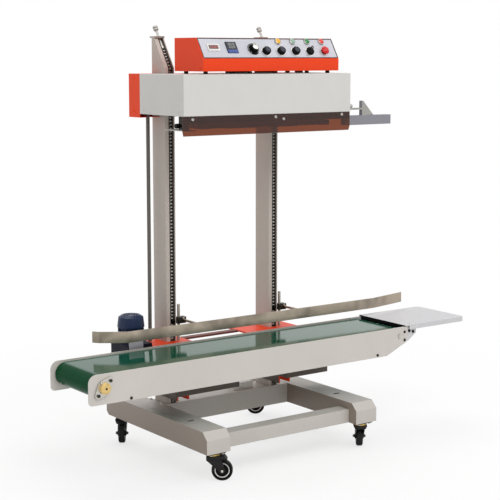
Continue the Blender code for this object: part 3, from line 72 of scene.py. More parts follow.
# Rounding of edges by how a piece is made, and radii of the heads of bolts and screws.
FINE_EDGE, CUT_EDGE, PRESSED_EDGE, CAST_EDGE = 0.0006, 0.0008, 0.0010, 0.0015
CASTER_BOLT, COLUMN_BOLT, BRACKET_BOLT, ARM_BOLT = 0.0048, 0.0055, 0.0065, 0.0048
PLATE_SCREW, GUARD_SCREW, TABLE_SCREW, COVER_SCREW = 0.0055, 0.0060, 0.0045, 0.0038
# Faces this near a level count as lying on it.
NEAR = 0.0005
# The control panel's knobs and the joints that they turn on.
KNOB_JOINTS = {"dial_knob": "dial_turn", "rotary_switch_1": "rotary_switch_1_turn",
               "rotary_switch_2": "rotary_switch_2_turn",
               "rotary_switch_3": "rotary_switch_3_turn", "selector_lever": "selector_turn"}
# Height of the panel's front edge, and of its face above the panel's own plane.
PANEL_FOOT = 1.468
PANEL_FACE = 0.0028
FINISHES = {}


def linear(code):
    """An sRGB hex colour as linear red, green and blue."""
    values = [int(code[i:i + 2], 16) / 255 for i in (1, 3, 5)]
    return tuple(v / 12.92 if v <= 0.04045 else ((v + 0.055) / 1.055) ** 2.4 for v in values)


def colour(name, code, words):
    """A colour property with its default from a hex value."""
    return FloatVectorProperty(name=name, description=words, subtype="COLOR",
                               default=linear(code), min=0, max=1)


class MachineColours(bpy.types.PropertyGroup):
    """Paint and plastic colours."""
    orange: colour("Orange", "#EB4315", "Powder coat on the control box, rear housing and brackets")
    grey: colour("Cover grey", "#D0CECA", "Powder coat on the head's front cover")
    cream: colour("Frame cream", "#CBC6BF", "Powder coat on the feet and conveyor side plates")
    column: colour("Column grey", "#BDB3AA", "Powder coat on the two columns")
    belt: colour("Belt green", "#114E39", "PVC face of the conveyor belt")
    navy: colour("Motor blue", "#16294A", "Enamel on the conveyor motor")
    acrylic: colour("Guard brown", "#78350A", "Tint of the acrylic guard")
    panel: colour("Panel silver", "#C9C9D1", "Film on the sloped control panel")


class DetailSizes(bpy.types.PropertyGroup):
    """Sizes of the fine detail."""
    edge: FloatProperty(name="Sheet edge", description="Rounding of folded and cut sheet edges",
                        default=0.0012, min=0.0002, max=0.005, unit="LENGTH")
    tube_edge: FloatProperty(name="Tube edge", description="Rounding of the feet and beams",
                             default=0.004, min=0.001, max=0.010, unit="LENGTH")
    chain_pitch: FloatProperty(name="Chain pitch", description="Distance between chain pins",
                               default=0.0127, min=0.006, max=0.02, unit="LENGTH")
    screw: FloatProperty(name="Screw head", description="Radius of a panel screw's head",
                         default=0.0042, min=0.002, max=0.008, unit="LENGTH")


def add(material, kind, inputs=(), **settings):
    """Adds a shader node with its settings, input values and the sockets linked to its inputs."""
    made = material.node_tree.nodes.new(kind)
    for field, value in settings.items():
        setattr(made, field, value)
    for name, value in dict(inputs).items():
        if isinstance(value, bpy.types.NodeSocket):
            material.node_tree.links.new(value, made.inputs[name])
        else:
            made.inputs[name].default_value = value
    return made


def begin(name, base, roughness, metallic=0.0, gleam=0.5):
    """A new material, its main shader and its object coordinates."""
    material = bpy.data.materials.new(name)
    material.use_nodes = True
    shader = material.node_tree.nodes["Principled BSDF"]
    for socket, value in (("Base Color", (*base, 1)), ("Roughness", roughness),
                          ("Metallic", metallic), ("Specular IOR Level", gleam)):
        shader.inputs[socket].default_value = value
    return material, shader, add(material, "ShaderNodeTexCoord").outputs["Object"]


def shade(base, factor):
    """A colour made lighter or darker."""
    return tuple(min(1.0, c * factor) for c in base[:3]) + (1,)


def surface(material, shader, ground, coats, gloss=None, relief=None):
    """Lays (pattern, colour) coats over a ground colour, then gives the shader gloss and relief.

    gloss is (pattern, least, most) and may end with the pattern's own range; relief is
    (pattern, strength, depth).
    """
    links = material.node_tree.links
    for pattern, tone in coats:
        coat = add(material, "ShaderNodeMix", {"Factor": pattern, "A": ground, "B": tone},
                   data_type="RGBA")
        ground = coat.outputs["Result"]
    links.new(ground, shader.inputs["Base Color"])
    if gloss:
        pattern, least, most, *span = gloss
        start, end = span or (0.0, 1.0)
        sheen = add(material, "ShaderNodeMapRange", {
            "Value": pattern, "From Min": start, "From Max": end, "To Min": least, "To Max": most})
        links.new(sheen.outputs["Result"], shader.inputs["Roughness"])
    if relief:
        pattern, strength, depth = relief
        bump = add(material, "ShaderNodeBump", {"Height": pattern, "Strength": strength,
                                                "Distance": depth})
        links.new(bump.outputs["Normal"], shader.inputs["Normal"])
    return material


def powder_coat(name, base, rough=0.42, low_darkening=0.0, gleam=0.5):
    """Powder-coated steel: a satin skin with orange peel, slow changes of tone and faint rubs."""
    # Orange peel is about 1.5 mm across; it is drawn at 4 mm so that it shows.
    material, shader, place = begin(name, base, rough, gleam=gleam)
    cloud = add(material, "ShaderNodeTexNoise", {"Vector": place, "Scale": 6.0, "Detail": 3.0})
    rub = add(material, "ShaderNodeTexNoise", {"Vector": place, "Scale": 38.0, "Detail": 6.0,
                                               "Roughness": 0.7})
    worn = add(material, "ShaderNodeMapRange", {
        "Value": rub.outputs["Fac"], "From Min": 0.62, "From Max": 0.80, "To Max": 0.30})
    coats = [(cloud.outputs["Fac"], shade(base, 1.05)), (worn.outputs["Result"], shade(base, 0.80))]
    # Below 0.3 m the paint turns darker and browner towards the bottom, in patches.
    if low_darkening:
        level = add(material, "ShaderNodeSeparateXYZ", {"Vector": place})
        low = add(material, "ShaderNodeMapRange", {
            "Value": level.outputs["Z"], "From Min": 0.10, "From Max": 0.30, "To Min": low_darkening,
            "To Max": 0.0})
        low_darkening_mask = add(material, "ShaderNodeMath", {0: low.outputs["Result"], 1: cloud.outputs["Fac"]},
                    operation="MULTIPLY")
        coats.append((low_darkening_mask.outputs["Value"], (*linear("#6E6259"), 1)))
    peel = add(material, "ShaderNodeTexNoise", {"Vector": place, "Scale": 250.0, "Detail": 1.0})
    return surface(material, shader, shade(base, 0.93), coats,
                   (rub.outputs["Fac"], rough - 0.06, rough + 0.10),
                   (peel.outputs["Fac"], 0.06, 0.0004))


def brushed(name, base, along=RIGHT, rough=0.32, metallic=1.0, blotch=0.78):
    """Brushed stainless steel: fine lines that run one way and blur reflections across them."""
    # Brush lines are about 0.1 mm apart; they are drawn near 1 mm so that they show.
    material, shader, place = begin(name, base, rough, metallic)
    stretch = tuple(12.0 if a else 900.0 for a in along)
    lines = add(material, "ShaderNodeMapping", {"Vector": place, "Scale": stretch})
    grain = add(material, "ShaderNodeTexNoise", {
        "Vector": lines.outputs["Vector"], "Scale": 1.0, "Detail": 4.0}).outputs["Fac"]
    cloud = add(material, "ShaderNodeTexNoise", {"Vector": place, "Scale": 9.0, "Detail": 2.0})
    patch = add(material, "ShaderNodeMapRange", {
        "Value": cloud.outputs["Fac"], "From Min": 1 - blotch, "From Max": blotch})
    coats = [(grain, shade(base, 1.25)), (patch.outputs["Result"], shade(base, blotch))]
    return surface(material, shader, shade(base, 0.62), coats,
                   (grain, rough - 0.08, rough + 0.14), (grain, 0.08, 0.0002))


def mottled_metal(name, code, rough, spread, scale, metallic=1.0, second=None):
    """Plated, oiled or cast metal: a cloudy tone and sheen from the bath, the oil or the sand."""
    base = linear(code)
    material, shader, place = begin(name, base, rough, metallic)
    cloud = add(material, "ShaderNodeTexNoise", {
        "Vector": place, "Scale": scale, "Detail": 4.0, "Roughness": 0.6}).outputs["Fac"]
    grit = add(material, "ShaderNodeTexNoise", {
        "Vector": place, "Scale": scale * 12, "Detail": 2.0}).outputs["Fac"]
    other = (*linear(second), 1) if second else shade(base, 1 + spread)
    return surface(material, shader, shade(base, 1 - spread), [(cloud, other)],
                   (cloud, max(0.08, rough - 0.12), rough + 0.15), (grit, 0.12, 0.0003))


def moulded(name, code, rough=0.42, grain=700.0, strength=0.10, gleam=0.5):
    """Moulded plastic or rubber: a fine spark-eroded grain and changes of sheen from handling."""
    # Mould grain is about 0.2 mm; it is drawn near 1.5 mm so that it shows.
    base = linear(code)
    material, shader, place = begin(name, base, rough, gleam=gleam)
    cloud = add(material, "ShaderNodeTexNoise", {
        "Vector": place, "Scale": 45.0, "Detail": 3.0}).outputs["Fac"]
    grit = add(material, "ShaderNodeTexNoise", {"Vector": place, "Scale": grain, "Detail": 1.0})
    return surface(material, shader, shade(base, 0.85), [(cloud, shade(base, 1.15))],
                   (cloud, rough - 0.06, rough + 0.08), (grit.outputs["Fac"], strength, 0.0002))


def belt_pvc(name, base, index):
    """Calendered PVC belting: a glossy green face with running streaks and scuffs from bags."""
    material, shader, place = begin(name, base, 0.12)
    shader.inputs["IOR"].default_value = index
    run = add(material, "ShaderNodeMapping", {"Vector": place, "Scale": (3.0, 90.0, 90.0)})
    streak = add(material, "ShaderNodeTexNoise", {
        "Vector": run.outputs["Vector"], "Scale": 1.0, "Detail": 4.0}).outputs["Fac"]
    scuff = add(material, "ShaderNodeTexNoise", {
        "Vector": place, "Scale": 30.0, "Detail": 6.0, "Roughness": 0.7}).outputs["Fac"]
    return surface(material, shader, shade(base, 0.80), [(streak, shade(base, 1.30))],
                   (scuff, 0.06, 0.16, 0.35, 0.80), (scuff, 0.010, 0.0002))


def tinted_acrylic(name, base):
    """Cast acrylic sheet, smoked brown: clear through, polished, with faint hairline scratches."""
    material, shader, place = begin(name, base, 0.05, gleam=0.05)
    shader.inputs["Transmission Weight"].default_value = 0.92
    shader.inputs["IOR"].default_value = 1.49
    run = add(material, "ShaderNodeMapping", {"Vector": place, "Rotation": (0.0, 0.6, 0.0),
                                              "Scale": (8.0, 300.0, 300.0)})
    hair = add(material, "ShaderNodeTexNoise", {
        "Vector": run.outputs["Vector"], "Scale": 1.0, "Detail": 2.0}).outputs["Fac"]
    depth = add(material, "ShaderNodeTexNoise", {
        "Vector": place, "Scale": 5.0, "Detail": 1.0}).outputs["Fac"]
    return surface(material, shader, shade(base, 0.90), [(depth, shade(base, 1.10))],
                   (hair, 0.03, 0.14, 0.55, 0.75))


def glass_tape(name):
    """Fluoropolymer-coated glass cloth: a tan tape with the cloth's plain weave showing through."""
    # Threads are 0.4 mm apart; the weave is drawn at 1.2 mm so that it shows.
    base = linear("#C9B48C")
    material, shader, place = begin(name, base, 0.45)
    weave = add(material, "ShaderNodeTexChecker", {
        "Vector": place, "Scale": 830.0, "Color1": shade(base, 0.85), "Color2": shade(base, 1.10)})
    return surface(material, shader, weave.outputs["Color"], [],
                   relief=(weave.outputs["Fac"], 0.15, 0.0002))


def lens(name, code, glow=0.0):
    """Moulded polycarbonate lens: a saturated, glossy colour with a little light inside."""
    base = linear(code)
    material, shader, place = begin(name, base, 0.18)
    shader.inputs["Emission Color"].default_value = (*base, 1)
    shader.inputs["Emission Strength"].default_value = glow
    rings = add(material, "ShaderNodeTexNoise", {"Vector": place, "Scale": 400.0, "Detail": 1.0})
    return surface(material, shader, shade(base, 0.80), [(rings.outputs["Fac"], shade(base, 1.15))])


def finishes():
    """Every finish on the machine, by name; made on first use."""
    if FINISHES:
        return FINISHES
    tint = bpy.context.scene.band_sealer_colours
    FINISHES.update({
        "orange": powder_coat("orange_powder_coat", tint.orange, 0.40, gleam=0.25),
        "grey": powder_coat("grey_powder_coat", tint.grey, 0.45),
        "cream": powder_coat("cream_powder_coat", tint.cream, 0.42),
        "foot": powder_coat("cream_powder_coat_floor", tint.cream, 0.44, 0.30),
        # A darker cream for the feet's side faces: painted shade.
        "side_shade": powder_coat("cream_powder_coat_side_shade", linear("#998C80"), 0.36, 0.5),
        "column": powder_coat("column_powder_coat", tint.column, 0.46),
        "table": powder_coat("table_powder_coat", linear("#CBCACC"), 0.40),
        "belt": belt_pvc("green_pvc_belting", tint.belt, 1.31),
        # A darker green for the belt's turned-down end: painted shade.
        "belt_end_shade": belt_pvc("green_pvc_belting_end_shade", linear("#12452A"), 1.10),
        "navy": powder_coat("navy_enamel", tint.navy, 0.34, gleam=0.3),
        "gearbox": powder_coat("dark_grey_enamel", linear("#171926"), 0.50, gleam=0.12),
        "acrylic": tinted_acrylic("smoked_acrylic", tint.acrylic),
        "film": brushed("satin_aluminium_panel", tint.panel, RIGHT, 0.45, 0.2),
        "steel": brushed("brushed_stainless", linear("#BEB1A0"), RIGHT, 0.30, 1.0, 0.58),
        "infeed": powder_coat("infeed_grey_paint", linear("#86858D"), 0.45),
        "conduit": powder_coat("dark_conduit_paint", linear("#5B5550"), 0.50),
        "rod": brushed("ground_steel_rod", linear("#B9B2A8"), UP, 0.26),
        # A darker grey for the inside of the columns' slots: painted shade.
        "slot": powder_coat("column_slot_painted_shade", linear("#8A8078"), 0.55),
        "maroon": powder_coat("maroon_primer", linear("#6B3024"), 0.50),
        "dark": mottled_metal("oiled_dark_steel", "#38342F", 0.46, 0.30, 30.0, 0.8),
        # Blotched dark brown and orange for the head plate's front: parts behind the guard with painted
        # highlights.
        "blotch": mottled_metal("dark_primer_with_painted_highlights", "#2A1512", 0.50, 0.30, 14.0, 0.1, "#8A3F16"),
        # Dark paint on the beam; on the brackets below it, the same finish is painted shade.
        "beam": mottled_metal("dark_beam_paint_and_shade", "#5A5048", 0.55, 0.15, 14.0, 0.2),
        "chain": mottled_metal("oiled_chain_steel", "#4E4843", 0.36, 0.35, 120.0, 0.9),
        "zinc": mottled_metal("bright_zinc_plate", "#C6C3BD", 0.28, 0.12, 90.0),
        "gold": mottled_metal("yellow_zinc_plate", "#D3AE58", 0.34, 0.20, 60.0, 0.9, "#D9C27E"),
        "brass": mottled_metal("machined_brass", "#DDBF80", 0.32, 0.14, 80.0),
        "cast": mottled_metal("sand_cast_aluminium", "#A9A7A2", 0.48, 0.14, 70.0, 0.9),
        "black": moulded("black_nylon", "#060607", 0.50, gleam=0.10),
        # Dark strips round the panel and under the control box: painted shade.
        "shade_strip": moulded("dark_shade_strip", "#2A1613", 0.60),
        "fork": powder_coat("black_enamel", linear("#121111"), 0.44, gleam=0.3),
        "tyre": moulded("black_rubber", "#171616", 0.70, 500.0, 0.18, 0.3),
        "rim": moulded("grey_nylon_core", "#E4E2DD", 0.45),
        "white": moulded("white_abs", "#E6E4DF", 0.38),
        "tape": glass_tape("coated_glass_cloth"),
        "red": moulded("red_abs", "#C8181A", 0.28, 700.0, 0.03, 0.3),
        "print": moulded("white_print", "#F1F0EC", 0.50),
        "slate": moulded("dark_controller_case", "#1E2130", 0.34, gleam=0.3),
        "blue": moulded("blue_controller_band", "#1F49A5", 0.30),
        "window": lens("smoked_display_window", "#2A0705"),
        "digit": lens("red_display_segment", "#C8281A", 0.25),
        "amber": lens("amber_lens", "#E9AC1C", 0.10),
        "pale": lens("pale_green_lens", "#8FB09C", 0.05),
        "green": lens("green_lens", "#15803F", 0.08),
        "scarlet": lens("red_lens", "#D8382C", 0.10),
    })
    return FINISHES


def pivot(name):
    """Where a joint turns or slides."""
    return Vector(JOINTS[name]["pos_m"])


def publish(name, shape, looks, body, edge=0.0):
    """A finished piece from a bmesh: its finishes, soft edges and the body that it rides on."""
    mesh = bpy.data.meshes.new(name)
    shape.to_mesh(mesh)
    shape.free()
    for look in looks:
        mesh.materials.append(finishes()[look])
    mesh.shade_smooth()
    mesh.set_sharp_from_angle(angle=SHARP)
    obj = bpy.data.objects.new(name, mesh)
    bpy.context.scene.collection.objects.link(obj)
    if edge:
        soften = obj.modifiers.new("edges", "BEVEL")
        soften.width = edge
        soften.segments = 2
        soften.limit_method = "ANGLE"
        soften.angle_limit = SHARP
        soften.use_clamp_overlap = True
        soften.harden_normals = True
    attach(obj, body)
    return obj


def dress(node, looks, edge=0.0, choose=None):
    """A CAD node's own shape with soft edges and its finishes; choose gives each face's finish."""
    shape = bmesh.new()
    shape.from_mesh(frame["nodes"][node].data)
    bmesh.ops.remove_doubles(shape, verts=shape.verts, dist=0.00001)
    bmesh.ops.dissolve_limit(shape, angle_limit=math.radians(0.5), verts=shape.verts,
                             edges=shape.edges)
    if choose:
        for face in shape.faces:
            face.material_index = choose(face.calc_center_median(), face.normal)
    looks = [looks] if isinstance(looks, str) else looks
    obj = publish(node + "_skin", shape, looks, BODY_OF[node], edge)
    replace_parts(obj, node)
    return obj


def spun(points, steps):
    """A closed shape turned about Z from (radius, height) points; off the axis they make a ring."""
    if points[0][0]:
        points = points + points[:1]
    shape = bmesh.new()
    verts = [shape.verts.new((radius, 0, height)) for radius, height in points]
    edges = [shape.edges.new(pair) for pair in zip(verts, verts[1:])]
    bmesh.ops.spin(shape, geom=verts + edges, cent=(0, 0, 0), axis=UP, angle=2 * math.pi,
                   steps=steps, use_merge=True)
    bmesh.ops.remove_doubles(shape, verts=shape.verts, dist=0.000001)
    bmesh.ops.recalc_face_normals(shape, faces=shape.faces)
    return shape


def round_off(shape, edges, radius, segments):
    """Rounds some of a shape's edges."""
    bmesh.ops.bevel(shape, geom=edges, offset=radius, offset_type="OFFSET", segments=segments,
                    profile=0.5, affect="EDGES", clamp_overlap=True, material=-1)


def block(size, edge=0.0, segments=2):
    """A box centred on the origin with rounded edges."""
    shape = bmesh.new()
    bmesh.ops.create_cube(shape, size=1)
    bmesh.ops.scale(shape, vec=size, verts=shape.verts)
    if edge:
        round_off(shape, shape.edges[:], edge, segments)
    return shape


def hexagon(radius, depth, edge, segments):
    """A hexagon nut's outside, centred on the origin."""
    shape = bmesh.new()
    bmesh.ops.create_cone(shape, cap_ends=True, segments=6, radius1=radius, radius2=radius,
                          depth=depth)
    round_off(shape, shape.edges[:], edge, segments)
    return shape


def put(target, shape, matrix, look=0):
    """Adds a small shape to a piece at a place, in one of the piece's finishes."""
    bmesh.ops.transform(shape, matrix=matrix, verts=shape.verts)
    for face in shape.faces:
        face.material_index = look
    small = bpy.data.meshes.new("small")
    shape.to_mesh(small)
    shape.free()
    target.from_mesh(small)
    bpy.data.meshes.remove(small)


def stand(target, shape, at, axis=UP, look=0, turn=0.0):
    """Adds a small shape to a piece, standing at a point along an axis."""
    lean = Vector(axis).to_track_quat("Z", "Y").to_matrix().to_4x4()
    put(target, shape, Matrix.Translation(at) @ lean @ Matrix.Rotation(turn, 4, "Z"), look)


def lay(target, shape, plane, at, look=0):
    """Adds a small shape to a piece at a point in a plane's own frame."""
    put(target, shape, plane @ Matrix.Translation(at), look)


def ring_of(target, size, edge, centre, radius, count):
    """Adds like blocks in a level ring, each facing out."""
    for i in range(count):
        turn = Matrix.Rotation(2 * math.pi * i / count, 4, "Z")
        lay(target, block(size, edge, 1), Matrix.Translation(centre) @ turn, (radius, 0, 0))


def screw(radius):
    """A pan-head screw with a round socket."""
    height = radius * 0.62
    profile = ((0, 0.35), (0.40, 0.35), (0.46, 1), (0.75, 1), (0.96, 0.55), (1, 0), (0, 0))
    return spun([(radius * across, height * up) for across, up in profile], 14)


def hex_bolt(radius):
    """A hexagon head on its washer."""
    washer = ((0, 0.22), (1.25, 0.22), (1.3, 0), (0, 0))
    shape = spun([(radius * across, radius * up) for across, up in washer], 18)
    stand(shape, hexagon(radius, radius * 0.8, radius * 0.08, 1), (0, 0, radius * 0.60))
    return shape


def fasteners(name, places, make, look, body):
    """One piece that holds a set of like fasteners: places are (point, axis, radius)."""
    shape = bmesh.new()
    for i, (at, axis, radius) in enumerate(places):
        # Tightened by hand, no two heads stop at the same turn.
        stand(shape, make(radius), at, axis, turn=0.5 * i)
    return publish(name, shape, [look], body)


def corners(low, high, inset=0.0):
    """Four points inside a rectangle's corners, for two coordinates."""
    return [(a, b) for a in (low[0] + inset, high[0] - inset)
            for b in (low[1] + inset, high[1] - inset)]


def roller_chain(target, points, axis, width, pitch, closed=False):
    """Rollers, pins and side plates along a line of pin places; the pins lie along the axis."""
    axis = Vector(axis)
    half = width * 0.28
    roller = [(0, half), (pitch * 0.30, half), (pitch * 0.30, -half), (0, -half)]
    pin = [(0, width * 0.5), (pitch * 0.13, width * 0.48), (pitch * 0.13, -width * 0.48),
           (0, -width * 0.5)]
    for point in points:
        stand(target, spun(roller, 8), point, axis, 1)
        stand(target, spun(pin, 6), point, axis, 1)
    ends = points[1:] + points[:1] if closed else points[1:]
    for i, (start, end) in enumerate(zip(points, ends)):
        along = (end - start).normalized()
        turn = Matrix((along, axis.cross(along), axis)).transposed().to_4x4()
        # Every second pair of plates lies inside its neighbours.
        spread = width * (0.42 if i % 2 else 0.33)
        for sign in (-1, 1):
            side_plate = block((pitch * 1.75, pitch * 0.80, width * 0.075))
            upright = [edge for edge in side_plate.edges
                       if abs(edge.verts[0].co.z - edge.verts[1].co.z) > width * 0.05]
            round_off(side_plate, upright, pitch * 0.36, 2)
            middle = (start + end) / 2 + axis * sign * spread
            put(target, side_plate, Matrix.Translation(middle) @ turn)


class SEALER_OT_base(bpy.types.Operator):
    """Finish the feet, beams and their fasteners"""
    bl_idname = "band_sealer.base"
    bl_label = "Base Frame"

    def execute(self, context):
        edge = context.scene.band_sealer_sizes.tube_edge * 0.5
        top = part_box("left_foot")[1].z
        # Each caster plate is held by four bolts, 50 mm apart.
        spread, bolts = 0.025, []
        for side in SIDES:
            self.foot(side, edge)
            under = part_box(side + "_foot")[0].z
            for end in ("front", "rear"):
                swivel = pivot(f"{end}_{side}_swivel_turn")
                bolts += [((swivel.x + dx, swivel.y + dy, under), DOWN, CASTER_BOLT)
                          for dx, dy in corners((-spread, -spread), (spread, spread))]
        dress("rear_beam", ["foot", "white"], edge, lambda at, n: int(at.z > top + NEAR))
        dress("front_rail", "foot", edge)
        for side in SIDES:
            low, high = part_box(side + "_column")
            bolts += [((x, y, top), UP, COLUMN_BOLT) for x in (low.x - 0.014, high.x + 0.014)
                      for y in (low.y + 0.016, high.y - 0.006)]
        fasteners("base_bolts", bolts, hex_bolt, "zinc", "frame")
        # The terminal box is 90 by 50 mm; its lid screws stand 6 mm in from its corners.
        middle, half, inset = (0.03125, 0.128), (0.045, 0.025), 0.006
        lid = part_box("rear_beam")[1].z
        screws = bmesh.new()
        for dx, dy in corners((-half[0], -half[1]), half, inset):
            stand(screws, screw(0.003), (middle[0] + dx, middle[1] + dy, lid))
        publish("terminal_box_screws", screws, ["zinc"], "frame")
        return {"FINISHED"}

    def foot(self, side, edge):
        """One foot: darker low down, painted shade on its sides and in the slot in its top, dark caster plates."""
        low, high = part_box(side + "_foot")
        under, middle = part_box("front_rail")[0].z, (low.x + high.x) / 2
        slot_half, slot_front, slot_rear = 0.02, -0.19, -0.14
        slot_floor, slot_rim = high.z - 0.0065, high.z - 0.0002

        def choose(at, normal):
            across = abs(at.x - middle)
            if at.z < under - NEAR:
                return 1
            # The side faces take a darker cream: painted shade.
            if abs(normal.x) > 0.9 and across > slot_half:
                return 3
            # The slot's walls and floor take dark steel: painted shade in the hole.
            in_slot = slot_floor < at.z < slot_rim and slot_front < at.y < slot_rear
            return 2 if in_slot and across < slot_half else 0

        dress(side + "_foot", ["foot", "fork", "dark", "side_shade"], edge, choose)


class SEALER_OT_casters(bpy.types.Operator):
    """Finish the forks and wheels"""
    bl_idname = "band_sealer.casters"
    bl_label = "Casters"

    def execute(self, context):
        for name in JOINTS:
            if name.endswith("_wheel_roll"):
                self.caster(name[:-len("_wheel_roll")])
        return {"FINISHED"}

    def caster(self, corner):
        """One caster: its fork with crown, race and axle nuts, and its wheel with two rings."""
        hub, swivel = pivot(corner + "_wheel_roll"), pivot(corner + "_swivel_turn")
        axis = Vector(JOINTS[corner + "_wheel_roll"]["axis"]).normalized()
        # The swivel plate and race take the fork's top 9 mm.
        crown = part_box(corner + "_fork")[1].z - 0.009
        core, core_half, boss = 0.0275, 0.0115, 0.0118

        def on_wheel(at, normal):
            across = (at - hub).dot(axis)
            reach = (at - hub - axis * across).length
            return int(reach < core and abs(across) < core_half or reach < boss)

        dress(corner + "_fork", ["fork", "gold"], FINE_EDGE,
              lambda at, n: int(at.z > crown - 0.0004))
        dress(corner + "_wheel", ["tyre", "black"], FINE_EDGE, on_wheel)
        rings, fittings = bmesh.new(), bmesh.new()
        ring_seat, leg_face = 0.0079, 0.0166
        for out in (-axis, axis):
            ring = spun([(0.0232, 0), (0.0232, 0.0016), (0.0239, 0.0022), (0.0264, 0.0022),
                         (0.0270, 0.0016), (0.0270, 0)], 36)
            stand(rings, ring, hub + out * ring_seat, out)
            leg = hub + out * leg_face
            stand(fittings, hex_bolt(0.0060), leg, out)
            tip = spun([(0, 0.0094), (0.0026, 0.0090), (0.0043, 0.0076), (0.0048, 0.0056),
                        (0.0048, 0), (0, 0)], 14)
            stand(fittings, tip, leg, out, 2)
        publish(corner + "_wheel_rings", rings, ["rim"], corner + "_caster")
        # The pressed crown narrows from the race to the fork's legs and stays 2 mm above the tyre.
        bell = block((1, 1, 1))
        for vert in bell.verts:
            high, ahead = vert.co.z > 0, vert.co.y > 0
            vert.co.x *= 0.054 if high else 0.0395
            vert.co.y = (0.040 if high else 0.052) if ahead else -0.024
            vert.co.z = 0.0912 if high else 0.0772
        round_off(bell, bell.edges[:], 0.0030, 3)
        trail = Vector((hub.x - swivel.x, hub.y - swivel.y, 0)).normalized()
        turn = Matrix((trail.cross(UP), trail, UP)).transposed().to_4x4()
        put(fittings, bell, Matrix.Translation((swivel.x, swivel.y, 0)) @ turn, 3)
        race = spun([(0.0225, 0.0035), (0.0245, 0.0020), (0.0245, -0.0020), (0.0225, -0.0035)], 28)
        stand(fittings, race, (swivel.x, swivel.y, crown + 0.0045), look=1)
        publish(corner + "_axle_nuts", fittings, ["dark", "gold", "zinc", "fork"],
                corner + "_swivel")


class SEALER_OT_columns(bpy.types.Operator):
    """Finish the columns and lay a roller chain in each slot"""
    bl_idname = "band_sealer.columns"
    bl_label = "Columns and Chains"

    def execute(self, context):
        for side in SIDES:
            self.column(side, context.scene.band_sealer_sizes.chain_pitch)
        return {"FINISHED"}

    def column(self, side, pitch):
        """One column, with the chain, tension rod and lock nuts in its slot."""
        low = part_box(side + "_column")[0]
        chain_low, chain_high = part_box(side + "_lift_chain")
        middle = (chain_low.x + chain_high.x) / 2

        def in_slot(at, normal):
            offset = abs(at.x - middle)
            wall = abs(normal.x) > 0.9 and offset < 0.0112 and low.x + 0.004 < at.x < low.x + 0.0405
            floor = normal.y < -0.3 and offset < 0.010 and at.y > low.y + 0.0135
            return int(wall or floor)

        # The slot's walls and floor take a darker grey: painted shade in the recess.
        dress(side + "_column", ["column", "slot"], 0.0012, in_slot)
        # The chain runs 8 mm behind the column's face, straight up and then back along its slope.
        inset, bend_z, tilt, sloped_links = 0.008, 1.4330, Vector((0, 0.5369, 0.8437)), 7
        bend = Vector((middle, low.y + inset, bend_z))
        count = int((bend_z - low.z) / pitch)
        points = [bend - Vector((0, 0, pitch)) * i for i in range(count, -1, -1)]
        points += [bend + tilt * pitch * i for i in range(1, sloped_links + 1)]
        shape = bmesh.new()
        roller_chain(shape, points, RIGHT, 0.0165, pitch)
        rod = spun([(0, 0.0965), (0.0040, 0.0955), (0.0048, 0.0940), (0.0048, 0.006),
                    (0.0065, 0.004), (0.0065, -0.004), (0, -0.006)], 16)
        stand(shape, rod, points[-1], tilt, 2)
        for reach in (0.0800, 0.0890):
            stand(shape, hexagon(0.0098, 0.0075, 0.0008, 2), points[-1] + tilt * reach, tilt, 1)
        obj = publish(side + "_roller_chain", shape, ["chain", "cast", "zinc"], "frame")
        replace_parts(obj, side + "_lift_chain")


